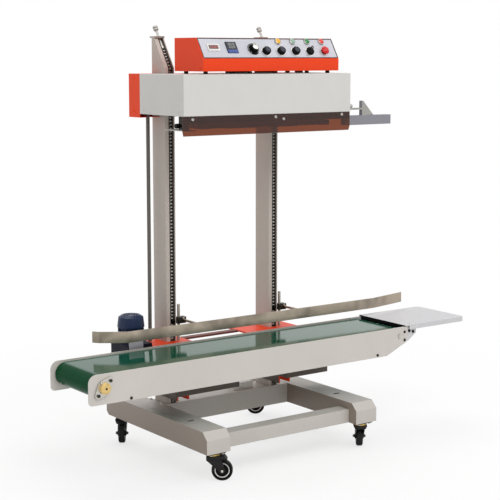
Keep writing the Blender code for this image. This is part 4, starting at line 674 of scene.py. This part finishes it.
class SEALER_OT_conveyor(bpy.types.Operator):
    """Finish the conveyor: plates, belt, rollers, bearing and table"""
    bl_idname = "band_sealer.conveyor"
    bl_label = "Conveyor"

    def execute(self, context):
        edge = context.scene.band_sealer_sizes.edge
        for plate in ("front_plate", "rear_plate"):
            dress(plate, "cream", edge)
        # The belt is darker where it turns down round the drive roller, as painted shade; the roller's sprocket is
        # behind.
        turn, level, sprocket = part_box("conveyor_belt")[0].x + 0.041, 0.97, 0.006
        dress("conveyor_belt", ["belt", "belt_end_shade"], CUT_EDGE,
              lambda at, n: int(at.x < turn and n.z < level))
        dress("slider_bed", "steel", FINE_EDGE)
        dress("drive_roller", ["steel", "dark"], CUT_EDGE, lambda at, n: int(at.y > sprocket))
        dress("tail_roller", "steel", CUT_EDGE)
        dress("tail_axle", "zinc", 0.0005)
        face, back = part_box("front_plate")[0].y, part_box("rear_plate")[1].y
        self.bearing(pivot("belt_drive"), face)
        # Side plate screws as (X, Z); the rear plate has the first three.
        spots = [(0.5417, 0.4111), (0.5423, 0.3791), (0.4031, 0.3354), (-0.7016, 0.3329)]
        places = [((x, face, z), FRONT, PLATE_SCREW) for x, z in spots]
        places += [((x, back, z), REAR, PLATE_SCREW) for x, z in spots[:3]]
        fasteners("conveyor_screws", places, screw, "dark", "frame")
        self.table(edge)
        return {"FINISHED"}

    def bearing(self, hub, face):
        """The front bearing: bright flange, brass hub, dark bolts, cap and grease nipple."""
        flange, brass, bolts = -0.2748, 0.0205, 0.0262

        def choose(at, normal):
            reach = math.hypot(at.x - hub.x, at.z - hub.z)
            if at.y < flange and reach < brass:
                return 1
            return 2 if at.y < flange and reach > bolts else 0

        dress("front_bearing", ["zinc", "brass", "dark"], PRESSED_EDGE, choose)
        seal = bmesh.new()
        cap = spun([(0, 0.0005), (0.0026, 0.0005), (0.0030, 0.0040), (0.0090, 0.0046),
                    (0.0150, 0.0034), (0.0168, 0.0008), (0.0168, 0), (0, 0)], 28)
        stand(seal, cap, (hub.x, face - 0.0183, hub.z), FRONT, 2)
        tip = spun([(0, 0.0034), (0.0034, 0.0032), (0.0042, 0.0024), (0.0042, 0), (0, 0)], 14)
        stand(seal, tip, (hub.x, face - 0.0203, hub.z), FRONT)
        nipple = spun([(0, 0.010), (0.0018, 0.0095), (0.0026, 0.0075), (0.0018, 0.006),
                       (0.0034, 0.0045), (0.0034, 0), (0, 0)], 12)
        stand(seal, nipple, (hub.x - 0.012, face - 0.013, hub.z + 0.0162), (-0.5, 0, 1), 1)
        publish("bearing_cap", seal, ["dark", "zinc", "brass"], "frame")

    def table(self, edge):
        """The feed table with its screws, arm bolts, a black edge trim and a black strip of painted shade."""
        dress("feed_table", "table", edge)
        low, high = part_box("feed_table")
        shape = bmesh.new()
        for y in (low.y + 0.020, high.y - 0.020):
            stand(shape, screw(TABLE_SCREW), (0.585, y, high.z - 0.0003))
        # A black trim runs along the table's edge over the belt's end, and below it a black strip 15 mm deep
        # stands in for the shade in the gap: painted shade.
        lip, middle, length = 0.54225, (low.y + high.y) / 2, high.y - low.y
        stand(shape, block((0.0026, length - 0.002, 0.0046), 0.0008),
              (lip + 0.0006, middle, high.z - 0.0020), look=1)
        stand(shape, block((0.0030, length - 0.020, 0.0160), 0.0008),
              (lip + 0.0022, middle, high.z - 0.0100), look=1)
        for y, way in ((low.y + 0.0082, FRONT), (high.y - 0.0082, REAR)):
            for x, z in ((0.570, 0.4115), (0.590, 0.4065)):
                stand(shape, hex_bolt(ARM_BOLT), (x, y, z), way, 1)
        publish("table_screws", shape, ["zinc", "black"], "frame")


class SEALER_OT_carrier(bpy.types.Operator):
    """Finish the beam and brackets under the conveyor"""
    bl_idname = "band_sealer.carrier"
    bl_label = "Carrier and Brackets"

    def execute(self, context):
        dress("support_beam", "beam", CAST_EDGE)
        bolts = []
        for side in SIDES:
            self.bracket(side)
            low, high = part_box(side + "_column")
            bolts += [((x, y, z), way, BRACKET_BOLT)
                      for x, way in ((low.x - 0.0063, LEFT), (high.x + 0.0063, RIGHT))
                      for z in (0.250, 0.350) for y in (low.y + 0.022, high.y - 0.022)]
        fasteners("bracket_bolts", bolts, hex_bolt, "zinc", "frame")
        return {"FINISHED"}

    def bracket(self, side):
        """One bracket with its post, and the conduit on the left or the crossbar on the right."""
        sheet_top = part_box("left_bracket")[0].z + 0.2115
        beam_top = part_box("support_beam")[1].z
        low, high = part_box(side + "_column")
        post, post_half, crossbar = high.x + 0.0125, 0.007, low.x - 0.1308

        def choose(at, normal):
            if at.z > sheet_top:
                if abs(at.x - post) < post_half:
                    return 1
                return 2 if side == "left" else 0
            if side == "right" and at.x < crossbar:
                return 3
            # Below the beam's top the bracket takes the dark beam finish: painted shade under the conveyor.
            return 4 if at.z < beam_top else 0

        dress(side + "_bracket", ["orange", "rod", "conduit", "maroon", "beam"], PRESSED_EDGE,
              choose)


class SEALER_OT_drive(bpy.types.Operator):
    """Finish the geared motor and its chain"""
    bl_idname = "band_sealer.drive"
    bl_label = "Conveyor Drive"

    def execute(self, context):
        low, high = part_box("conveyor_gearbox")
        foot = low.z + 0.0093
        dress("conveyor_gearbox", ["gearbox", "beam"], 0.0025, lambda at, n: int(at.z < foot))
        dress("conveyor_motor", "navy", PRESSED_EDGE)
        dress("motor_sprocket", "dark", CUT_EDGE)
        self.motor_detail()
        self.covers(low, high)
        self.chain(context.scene.band_sealer_sizes.chain_pitch)
        return {"FINISHED"}

    def motor_detail(self):
        """Cooling fins round the motor's body, and two rings of slits in its fan cowl."""
        low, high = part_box("conveyor_motor")
        x, y = (low.x + high.x) / 2, (low.y + high.y) / 2
        body = (high.x - low.x) / 2 - 0.006
        fins = bmesh.new()
        ring_of(fins, (0.005, 0.0022, 0.044), 0.0006, (x, y, low.z + 0.0265), body + 0.0018, 20)
        publish("motor_fins", fins, ["navy"], "frame")
        slits = bmesh.new()
        for radius, count in ((0.014, 8), (0.024, 14)):
            ring_of(slits, (0.0055, 0.0018, 0.0016), 0.0004, (x, y, high.z - 0.0036), radius, count)
        publish("fan_cowl_slits", slits, ["black"], "frame")

    def covers(self, low, high):
        """The bare plate on the gearbox's front and the screwed cover on its back."""
        plate = bmesh.new()
        stand(plate, block((0.060, 0.046, 0.0016), 0.0005),
              (low.x + 0.0348, low.y + 0.0190, 0.4390), FRONT, 2)
        middle, level, half = (low.x + high.x) / 2, 0.384, 0.042
        stand(plate, block((2 * half, 2 * half, 0.0024), 0.0008),
              (middle, high.y + 0.0008, level), REAR)
        for dx, dz in corners((-half, -half), (half, half), 0.008):
            stand(plate, screw(COVER_SCREW), (middle + dx, high.y + 0.0020, level + dz), REAR, 1)
        publish("gearbox_covers", plate, ["cast", "zinc", "film"], "frame")

    def chain(self, pitch):
        """The closed chain round two sprockets of one size, on the motor and the drive roller."""
        drive, motor = pivot("belt_drive"), pivot("gearbox_output")
        radius, span = 0.0345, motor.x - drive.x
        half_loop = span + math.pi * radius
        pins = round(half_loop / pitch)
        middle = Vector(((drive.x + motor.x) / 2, motor.y, drive.z))
        offsets = []
        for i in range(pins):
            reach = half_loop * i / pins
            if reach < span:
                offsets.append(Vector((reach - span / 2, 0, radius)))
            else:
                angle = math.pi / 2 - (reach - span) / radius
                offsets.append(Vector((span / 2 + radius * math.cos(angle), 0,
                                       radius * math.sin(angle))))
        points = [middle + offset for offset in offsets] + [middle - offset for offset in offsets]
        shape = bmesh.new()
        roller_chain(shape, points, REAR, 0.0092, half_loop / pins, closed=True)
        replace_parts(publish("drive_roller_chain", shape, ["chain", "zinc"], "frame"), "drive_chain")


class SEALER_OT_guide(bpy.types.Operator):
    """Finish the bag guide, its rods and clamps"""
    bl_idname = "band_sealer.guide"
    bl_label = "Bag Guide"

    def execute(self, context):
        dress("guide_rail", "steel", FINE_EDGE)
        for side in SIDES:
            dress(side + "_clamp", "dark", CAST_EDGE)
            low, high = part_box(side + "_clamp")
            middle = (low + high) / 2
            knobs = bmesh.new()
            grip = spun([(0, 0.020), (0.006, 0.020), (0.0085, 0.018), (0.0085, 0.009),
                         (0.006, 0.007), (0.003, 0.006), (0.003, 0), (0, 0)], 16)
            stand(knobs, grip, (low.x, middle.y, middle.z), LEFT)
            stand(knobs, screw(0.0050), (middle.x + 0.008, low.y, high.z - 0.0055), FRONT, 1)
            publish(side + "_clamp_knob", knobs, ["black", "zinc"], "guide_clamps")
        return {"FINISHED"}


class SEALER_OT_head(bpy.types.Operator):
    """Finish the sealing head's shells, guard and infeed guide"""
    bl_idname = "band_sealer.head"
    bl_label = "Head Shells"

    def execute(self, context):
        sizes = context.scene.band_sealer_sizes
        dress("front_cover", "grey", sizes.edge * 0.8)
        dress("rear_housing", "orange", sizes.edge * 0.8)
        dress("acrylic_guard", "acrylic", 0.0007)
        self.shell_screws(sizes.screw)
        # Screws on the guard's flange as (X, Z).
        flange = -0.1803
        spots = ((-0.3895, 1.2598), (-0.0284, 1.2606), (0.0082, 1.2524), (0.2825, 1.2620))
        places = [((x, flange, z), FRONT, GUARD_SCREW) for x, z in spots]
        fasteners("guard_screws", places, screw, "zinc", "head")
        back, lowest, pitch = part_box("rear_housing")[1].y + 0.0006, 1.300, 0.014
        louvres = bmesh.new()
        for x in (-0.20, 0.06):
            for row in range(6):
                blade = block((0.110, 0.004, 0.006), 0.0018)
                put(louvres, blade, Matrix.Translation((x, back, lowest + row * pitch)))
        publish("rear_louvres", louvres, ["orange"], "head")

        def on_infeed(at, normal):
            plate = at.x < 0.3455 and at.z < 1.2752
            arm = at.z > 1.2545 and at.x < 0.41
            return int(plate or arm)

        dress("infeed_guide", ["infeed", "cast"], CUT_EDGE, on_infeed)
        return {"FINISHED"}

    def shell_screws(self, size):
        """Screws on the ends of the cover, and on the ends and back of the housing."""
        low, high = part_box("front_cover")
        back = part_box("rear_housing")[1].y
        ends = ((low.x, LEFT), (high.x, RIGHT))
        places = [((x, y, low.z + 0.016), way, size)
                  for y in (low.y + 0.030, high.y - 0.030) for x, way in ends]
        fasteners("cover_screws", places, screw, "grey", "head")
        places = [((x, (high.y + back) / 2, z), way, size)
                  for x, way in ends for z in (low.z + 0.010, high.z - 0.016)]
        margin, gaps = 0.045, 3
        step = (high.x - low.x - 2 * margin) / gaps
        places += [((low.x + margin + i * step, back, z), REAR, size)
                   for i in range(gaps + 1) for z in (low.z + 0.004, high.z - 0.014)]
        fasteners("shell_screws", places, screw, "orange", "head")


class SEALER_OT_sealing(bpy.types.Operator):
    """Finish the sealing gear inside the head"""
    bl_idname = "band_sealer.sealing"
    bl_label = "Sealing Gear"

    def execute(self, context):
        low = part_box("head_base_plate")[0]
        # The plate's front face, seen through the guard, is blotched dark brown and orange: it stands in for the
        # parts behind it, with painted highlights.
        dress("head_base_plate", ["dark", "blotch"], CUT_EDGE,
              lambda at, n: int(at.y < low.y + 0.004 and n.y < -0.9))
        dress("lift_shaft", "zinc", 0.0004)
        dress("lift_motor", "navy", CAST_EDGE)
        dress("band_motor", "cast", CAST_EDGE)
        for row in ("front", "rear"):
            for end in ("drive", "idler"):
                dress(f"{row}_{end}_wheel", "rod", FINE_EDGE)
            dress(row + "_band", "tape")
            dress(row + "_seal_bar", "brass", CUT_EDGE)
        strip = bmesh.new()
        stand(strip, block((0.046, 0.130, 0.003), 0.001), (-0.3950, -0.110, low.z - 0.0015))
        for y in (-0.155, -0.135):
            stand(strip, screw(0.0036), (-0.4058, y, low.z), look=1)
        publish("end_plate_foot", strip, ["cream", "zinc"], "head")
        knob_end = -0.4146
        dress("pressure_knob", ["black", "zinc"], CUT_EDGE, lambda at, n: int(at.x > knob_end))
        return {"FINISHED"}


def panel_matrix():
    """The sloped panel's own frame: X along it, Y up its slope and Z out of its face."""
    normal = Vector(JOINTS["dial_turn"]["axis"]).normalized()
    along = Vector(RIGHT)
    low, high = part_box("control_box")
    turn = Matrix((along, normal.cross(along), normal)).transposed().to_4x4()
    return Matrix.Translation(((low.x + high.x) / 2, low.y, PANEL_FOOT)) @ turn


class SEALER_OT_controls(bpy.types.Operator):
    """Finish the control box, its panel, meters, lamps and knobs"""
    bl_idname = "band_sealer.controls"
    bl_label = "Controls"

    def execute(self, context):
        sizes = context.scene.band_sealer_sizes
        low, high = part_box("control_box")
        floor = low.z + 0.0090
        dress("control_box", ["orange", "tyre"], sizes.edge * 0.8,
              lambda at, n: int(at.z < floor))
        plane = panel_matrix()
        inward = plane.inverted()
        spots = {node: inward @ pivot(joint) for node, joint in KNOB_JOINTS.items()}
        stop_low, stop_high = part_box("stop_button")
        stop = inward @ ((stop_low + stop_high) / 2)
        # A lamp stands above each of the last four controls in the row.
        lamps = [spots["rotary_switch_2"].x, spots["rotary_switch_3"].x,
                 spots["selector_lever"].x, stop.x]
        dial = spots["dial_knob"].x

        def choose(at, normal):
            spot = inward @ at
            if spot.z < PANEL_FACE + 0.0002:
                return 0
            if spot.y > 0.060 and spot.x > dial + 0.05:
                return 3 + min(range(4), key=lambda i: abs(lamps[i] - spot.x))
            if abs(spot.x - dial) < 0.030:
                return 7
            return 1 if spot.x < -0.205 else 2

        dress("control_panel", ["film", "white", "slate", "amber", "pale", "green", "scarlet",
                                "black"], 0.0005, choose)
        self.shade_strip(plane)
        self.box_underside_shade(low, high)
        self.counter(plane)
        self.controller(plane)
        self.lamp_rims(plane, lamps)
        self.knobs(plane, spots, stop)
        self.back(low, high, sizes.screw)
        return {"FINISHED"}

    def shade_strip(self, plane):
        """Dark strips round the panel, widest along its top and right edges: painted shade along the box's rim."""
        half, foot, crest = 0.3030, 0.0040, 0.0855
        middle, height = (foot + crest) / 2, crest - foot
        shape = bmesh.new()
        for x, y, length, width in ((0, crest - 0.0006, 2 * half, 0.0042),
                                    (0, foot + 0.0004, 2 * half, 0.0022),
                                    (half - 0.0008, middle, 0.0044, height),
                                    (-half + 0.0002, middle, 0.0016, height)):
            strip = block((length, width, 0.0012), 0.0004, 1)
            lay(shape, strip, plane, (x, y, PANEL_FACE + 0.0002))
        publish("panel_rim_shade", shape, ["shade_strip"], "head")

    def box_underside_shade(self, low, high):
        """Dark strips under the back of the control box, painted shade in the gap beneath it, and a spare foot
        that it rests on.
        """
        level, depth, height = low.z + 0.0045, 0.012, 0.0086
        shape = bmesh.new()
        # These strips stand in for the shade under the box, one in dark red: painted shade.
        for start, end, look in ((-0.107, -0.002, 0), (0.026, 0.124, 2), (0.172, 0.186, 0),
                                 (0.218, 0.250, 0)):
            stand(shape, block((end - start, depth, height), 0.001),
                  ((start + end) / 2, high.y - 0.014, level), look=look)
        stand(shape, block((depth, depth, height), 0.001), (-0.114, low.y + 0.011, level), look=1)
        publish("box_underside_shade_strips", shape, ["shade_strip", "tyre", "maroon"], "head")

    def counter(self, plane):
        """The counter's window, its figures and its four buttons."""
        x, y, top = -0.249, 0.046, PANEL_FACE + 0.003
        shape = bmesh.new()
        lay(shape, block((0.040, 0.016, 0.0012), 0.0004, 1), plane, (x, y + 0.001, top + 0.0002))
        for i, digit in enumerate("0888"):
            spot = Vector((x - 0.0135 + i * 0.009, y + 0.001, top + 0.0009))
            self.figure(shape, plane, digit, spot, 0.0050, 0.0095, 1)
        for i in range(4):
            lay(shape, block((0.005, 0.003, 0.0012), 0.0005, 1), plane,
                (x - 0.016 + i * 0.0105, y - 0.0115, top + 0.0004), 2)
        publish("counter_face", shape, ["window", "digit", "rim"], "head")

    def controller(self, plane):
        """The temperature controller's window, band, two rows of unlit figures and four buttons."""
        x, y, top = -0.170, 0.046, PANEL_FACE + 0.003
        band = y - 0.0165
        shape = bmesh.new()
        lay(shape, block((0.043, 0.030, 0.0012), 0.0005, 1), plane, (x, y + 0.0065, top + 0.0002))
        lay(shape, block((0.043, 0.012, 0.0014), 0.0005, 1), plane, (x, band, top + 0.0002), 1)
        for row, height in ((0.012, 0.0095), (0.0, 0.0075)):
            for i in range(3):
                spot = Vector((x - 0.010 + i * 0.010, y + row, top + 0.0009))
                self.figure(shape, plane, "8", spot, 0.0055, height, 2)
        for i in range(4):
            button = spun([(0, 0.0012), (0.0024, 0.0010), (0.0028, 0), (0, 0)], 12)
            lay(shape, button, plane, (x - 0.015 + i * 0.010, band, top + 0.0008), 3)
        publish("controller_face", shape, ["slate", "blue", "cast", "slate"], "head")

    def figure(self, shape, plane, digit, at, width, height, look):
        """A seven-segment figure."""
        bar, thick, half, quarter = 0.0009, 0.0004, height / 2, height / 4
        level, upright = (width - bar, bar, thick), (bar, half - bar, thick)
        segments = {"a": (0, half, level), "g": (0, 0, level), "d": (0, -half, level),
                    "f": (-width / 2, quarter, upright), "b": (width / 2, quarter, upright),
                    "e": (-width / 2, -quarter, upright), "c": (width / 2, -quarter, upright)}
        for name in {"0": "abcdef", "8": "abcdefg"}[digit]:
            dx, dy, size = segments[name]
            lay(shape, block(size), plane, at + Vector((dx, dy, 0)), look)

    def lamp_rims(self, plane, lamps):
        """Chromed rims and domed lenses of the four lamps."""
        row = 0.072
        shape = bmesh.new()
        for i, x in enumerate(lamps):
            rim = spun([(0.0106, 0.0062), (0.0116, 0.0058), (0.0130, 0.0016), (0.0130, 0),
                        (0.0106, 0)], 24)
            lay(shape, rim, plane, (x, row, PANEL_FACE), 4)
            dome = spun([(0, 0.0042), (0.0044, 0.0036), (0.0084, 0.0018), (0.0104, 0), (0, 0)], 24)
            lay(shape, dome, plane, (x, row, PANEL_FACE + 0.0060), i)
        publish("lamp_lenses", shape, ["amber", "pale", "green", "scarlet", "zinc"], "head")

    def knobs(self, plane, spots, stop):
        """The bezels, the dial's marks, a grip for each knob, and the stop button."""
        bezels = bmesh.new()
        for node, spot in spots.items():
            if node != "dial_knob":
                ring = spun([(0.0168, 0.0010), (0.0182, 0.0008), (0.0188, 0), (0.0150, 0)], 28)
                lay(bezels, ring, plane, (spot.x, spot.y, PANEL_FACE - 0.0002))
        ring = spun([(0.0100, 0.0015), (0.0150, 0.0014), (0.0170, 0.0006), (0.0170, 0),
                     (0.0100, 0)], 28)
        lay(bezels, ring, plane, (stop.x, spots["selector_lever"].y, PANEL_FACE))
        publish("knob_bezels", bezels, ["zinc"], "head")
        dial = spots["dial_knob"]
        centre = plane @ Matrix.Translation((dial.x, dial.y, PANEL_FACE + 0.0014))
        marks = bmesh.new()
        for i in range(31):
            length = 0.0052 if i % 5 == 0 else 0.0030
            turn = Matrix.Rotation(math.radians(225 - 9 * i), 4, "Z")
            lay(marks, block((length, 0.0007, 0.0004)), centre @ turn, (0.0228 - length / 2, 0, 0))
        publish("dial_marks", marks, ["print"], "head")
        makers = {"dial_knob": self.dial, "selector_lever": self.selector}
        for node, spot in spots.items():
            shape = bmesh.new()
            looks = makers.get(node, self.switch)(shape, plane @ Matrix.Translation(spot))
            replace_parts(publish(node + "_grip", shape, looks, BODY_OF[node]), node)
        dress("stop_button", "red", 0.0012)

    def dial(self, shape, base):
        """The dial's fluted knob with its bright cap and pointer; gives back their finishes."""
        self.fluted(shape, base, 0.0160, 0.0175, 30)
        cap = spun([(0, 0.0190), (0.0105, 0.0190), (0.0122, 0.0180), (0.0130, 0.0150),
                    (0, 0.0150)], 32)
        put(shape, cap, base, 1)
        lay(shape, block((0.0010, 0.0085, 0.0006)), base, (0, 0.0065, 0.0191))
        return ["black", "zinc"]

    def selector(self, shape, base):
        """The selector's collar and its lever with a white line; gives back their finishes."""
        collar = spun([(0, 0.0075), (0.0130, 0.0075), (0.0155, 0.0062), (0.0163, 0), (0, 0)], 28)
        put(shape, collar, base)
        lever = base @ Matrix.Rotation(math.radians(-40), 4, "Z")
        lay(shape, block((0.0095, 0.0395, 0.0082), 0.0022, 3), lever, (0, 0, 0.0108))
        lay(shape, block((0.0012, 0.012, 0.0004)), lever, (0, 0.0115, 0.0149), 1)
        return ["black", "print"]

    def switch(self, shape, base):
        """A rotary switch's fluted knob, cap and white line; gives back their finishes."""
        self.fluted(shape, base, 0.0163, 0.0138, 24)
        cap = spun([(0, 0.0150), (0.0090, 0.0150), (0.0105, 0.0138), (0, 0.0133)], 28)
        put(shape, cap, base, 2)
        lay(shape, block((0.0012, 0.0060, 0.0005)), base, (0, 0.0120, 0.0139), 1)
        return ["black", "print", "slate"]

    def fluted(self, shape, base, radius, height, flutes):
        """A knob's body with a finely fluted side above its skirt."""
        skirt, groove = 0.0020, 0.955
        body = spun([(0, height), (radius * 0.80, height), (radius * 0.90, height - 0.0012),
                     (radius * 0.98, skirt + 0.0005), (radius, skirt), (radius, 0), (0, 0)],
                    flutes * 2)
        for vert in body.verts:
            outer = math.hypot(vert.co.x, vert.co.y) > radius * 0.7
            step = round(math.atan2(vert.co.y, vert.co.x) / (math.pi / flutes))
            if outer and vert.co.z > skirt + 0.0002 and step % 2:
                vert.co.x *= groove
                vert.co.y *= groove
        put(shape, body, base)

    def back(self, low, high, size):
        """Vents, screws and a cable gland on the back of the control box."""
        slits = bmesh.new()
        for column in range(3):
            for row in range(5):
                spot = (low.x + 0.10 + column * 0.085, high.y, low.z + 0.045 + row * 0.012)
                put(slits, block((0.060, 0.0016, 0.0032), 0.0007, 1), Matrix.Translation(spot))
        publish("control_box_vents", slits, ["black"], "head")
        places = [((x, high.y, z), REAR, size)
                  for x, z in corners((low.x, low.z + 0.01), (high.x, high.z), 0.012)]
        places += [((x, y, low.z + 0.022), way, size)
                   for x, way in ((low.x, LEFT), (high.x, RIGHT))
                   for y in (low.y + 0.020, high.y - 0.018)]
        fasteners("control_box_screws", places, screw, "orange", "head")
        gland = bmesh.new()
        nut = spun([(0, 0.020), (0.006, 0.020), (0.0085, 0.017), (0.0085, 0.009), (0.0105, 0.008),
                    (0.0105, 0), (0, 0)], 18)
        stand(gland, nut, (high.x - 0.09, high.y, low.z + 0.040), REAR)
        publish("cable_gland", gland, ["black"], "head")


class SEALER_OT_stage(bpy.types.Operator):
    """Lay the floor, hang the lights and set the camera"""
    bl_idname = "band_sealer.stage"
    bl_label = "Stage"

    def execute(self, context):
        scene = context.scene
        scene.view_settings.view_transform = "Standard"
        self.floor(scene)
        self.backdrop(scene)
        for name, place, power in (("key", (-1.0, -4.0, 4.6), 94), ("fill", (2.6, -2.6, 4.8), 50),
                                   ("top", (0.2, 1.6, 4.6), 50), ("side", (-4.4, 0.2, 2.2), 9)):
            self.lamp(scene, name, place, power)
        view = bpy.data.cameras.new("photo_view")
        view.sensor_fit = "HORIZONTAL"
        view.sensor_width = 36
        view.lens = 97.8
        camera = bpy.data.objects.new("photo_view", view)
        camera.location = (-3.0098, -4.1290, 1.4835)
        camera.rotation_euler = (math.radians(81.82), 0, math.radians(-35.98))
        scene.collection.objects.link(camera)
        scene.camera = camera
        return {"FINISHED"}

    def floor(self, scene):
        """A white paper floor that keeps the machine's shadow and fades to pure white around it."""
        shape = bmesh.new()
        bmesh.ops.create_grid(shape, x_segments=1, y_segments=1, size=14)
        mesh = bpy.data.meshes.new("studio_floor")
        shape.to_mesh(mesh)
        shape.free()
        material, shader, place = begin("white_paper_floor", linear("#FBFBFB"), 0.85)
        pulp = add(material, "ShaderNodeTexNoise", {"Vector": place, "Scale": 3.0, "Detail": 2.0})
        surface(material, shader, (*linear("#FBFBFB"), 1),
                [(pulp.outputs["Fac"], (*linear("#FFFFFF"), 1))])
        away = add(material, "ShaderNodeVectorMath", {0: place}, operation="LENGTH")
        far = add(material, "ShaderNodeMapRange", {
            "Value": away.outputs["Value"], "From Min": 0.8, "From Max": 2.2, "To Min": 0.70})
        rays = add(material, "ShaderNodeLightPath")
        seen = add(material, "ShaderNodeMath", {
            0: rays.outputs["Is Camera Ray"], 1: far.outputs["Result"]}, operation="MULTIPLY")
        glow = add(material, "ShaderNodeEmission", {"Color": (1, 1, 1, 1), "Strength": 1.0})
        blend = add(material, "ShaderNodeMixShader", {
            0: seen.outputs["Value"], 1: shader.outputs["BSDF"], 2: glow.outputs["Emission"]})
        material.node_tree.links.new(blend.outputs["Shader"],
                                     material.node_tree.nodes["Material Output"].inputs["Surface"])
        mesh.materials.append(material)
        ground = bpy.data.objects.new("studio_floor", mesh)
        scene.collection.objects.link(ground)

    def backdrop(self, scene):
        """A world that is white to the eye, in metal and through glass, and dimmer as light."""
        world = bpy.data.worlds.new("white_studio")
        scene.world = world
        world.use_nodes = True
        rays = add(world, "ShaderNodeLightPath")
        clear = add(world, "ShaderNodeMath", {
            0: rays.outputs["Is Camera Ray"], 1: rays.outputs["Is Transmission Ray"]},
            operation="MAXIMUM")
        shown = add(world, "ShaderNodeMath", {
            0: clear.outputs["Value"], 1: rays.outputs["Is Glossy Ray"]}, operation="MAXIMUM")
        power = add(world, "ShaderNodeMapRange", {
            "Value": shown.outputs["Value"], "To Min": 0.54, "To Max": 1.0})
        background = world.node_tree.nodes["Background"]
        background.inputs["Color"].default_value = (1, 1, 1, 1)
        world.node_tree.links.new(power.outputs["Result"], background.inputs["Strength"])

    def lamp(self, scene, name, place, power):
        """A large soft light aimed at the middle of the machine."""
        light = bpy.data.lights.new(name, "AREA")
        light.shape = "DISK"
        light.size = 3.0
        light.energy = power
        obj = bpy.data.objects.new(name, light)
        obj.location = place
        aim = Vector((0, 0, 0.8)) - Vector(place)
        obj.rotation_euler = aim.to_track_quat("-Z", "Y").to_euler()
        scene.collection.objects.link(obj)


class SEALER_PT_panel(bpy.types.Panel):
    """Band sealer tools in the sidebar"""
    bl_idname = "SEALER_PT_panel"
    bl_label = "Band Sealer"
    bl_space_type = "VIEW_3D"
    bl_region_type = "UI"
    bl_category = "Band Sealer"

    def draw(self, context):
        for group in (context.scene.band_sealer_colours, context.scene.band_sealer_sizes):
            for name in group.__annotations__:
                self.layout.prop(group, name)
        for operator in OPERATORS:
            self.layout.operator(operator.bl_idname)


OPERATORS = (SEALER_OT_stage, SEALER_OT_base, SEALER_OT_casters, SEALER_OT_columns,
             SEALER_OT_conveyor, SEALER_OT_carrier, SEALER_OT_drive, SEALER_OT_guide,
             SEALER_OT_head, SEALER_OT_sealing, SEALER_OT_controls)
CLASSES = (MachineColours, DetailSizes, *OPERATORS, SEALER_PT_panel)


def register():
    """Registers the classes and the scene's settings."""
    for item in CLASSES:
        bpy.utils.register_class(item)
    bpy.types.Scene.band_sealer_colours = PointerProperty(type=MachineColours)
    bpy.types.Scene.band_sealer_sizes = PointerProperty(type=DetailSizes)


def unregister():
    """Removes the scene's settings and the classes."""
    del bpy.types.Scene.band_sealer_sizes
    del bpy.types.Scene.band_sealer_colours
    for item in reversed(CLASSES):
        bpy.utils.unregister_class(item)


def main():
    """Dresses the machine."""
    register()
    bpy.ops.band_sealer.stage()
    bpy.ops.band_sealer.base()
    bpy.ops.band_sealer.casters()
    bpy.ops.band_sealer.columns()
    bpy.ops.band_sealer.conveyor()
    bpy.ops.band_sealer.carrier()
    bpy.ops.band_sealer.drive()
    bpy.ops.band_sealer.guide()
    bpy.ops.band_sealer.head()
    bpy.ops.band_sealer.sealing()
    bpy.ops.band_sealer.controls()


if __name__ == "__main__":
    main()
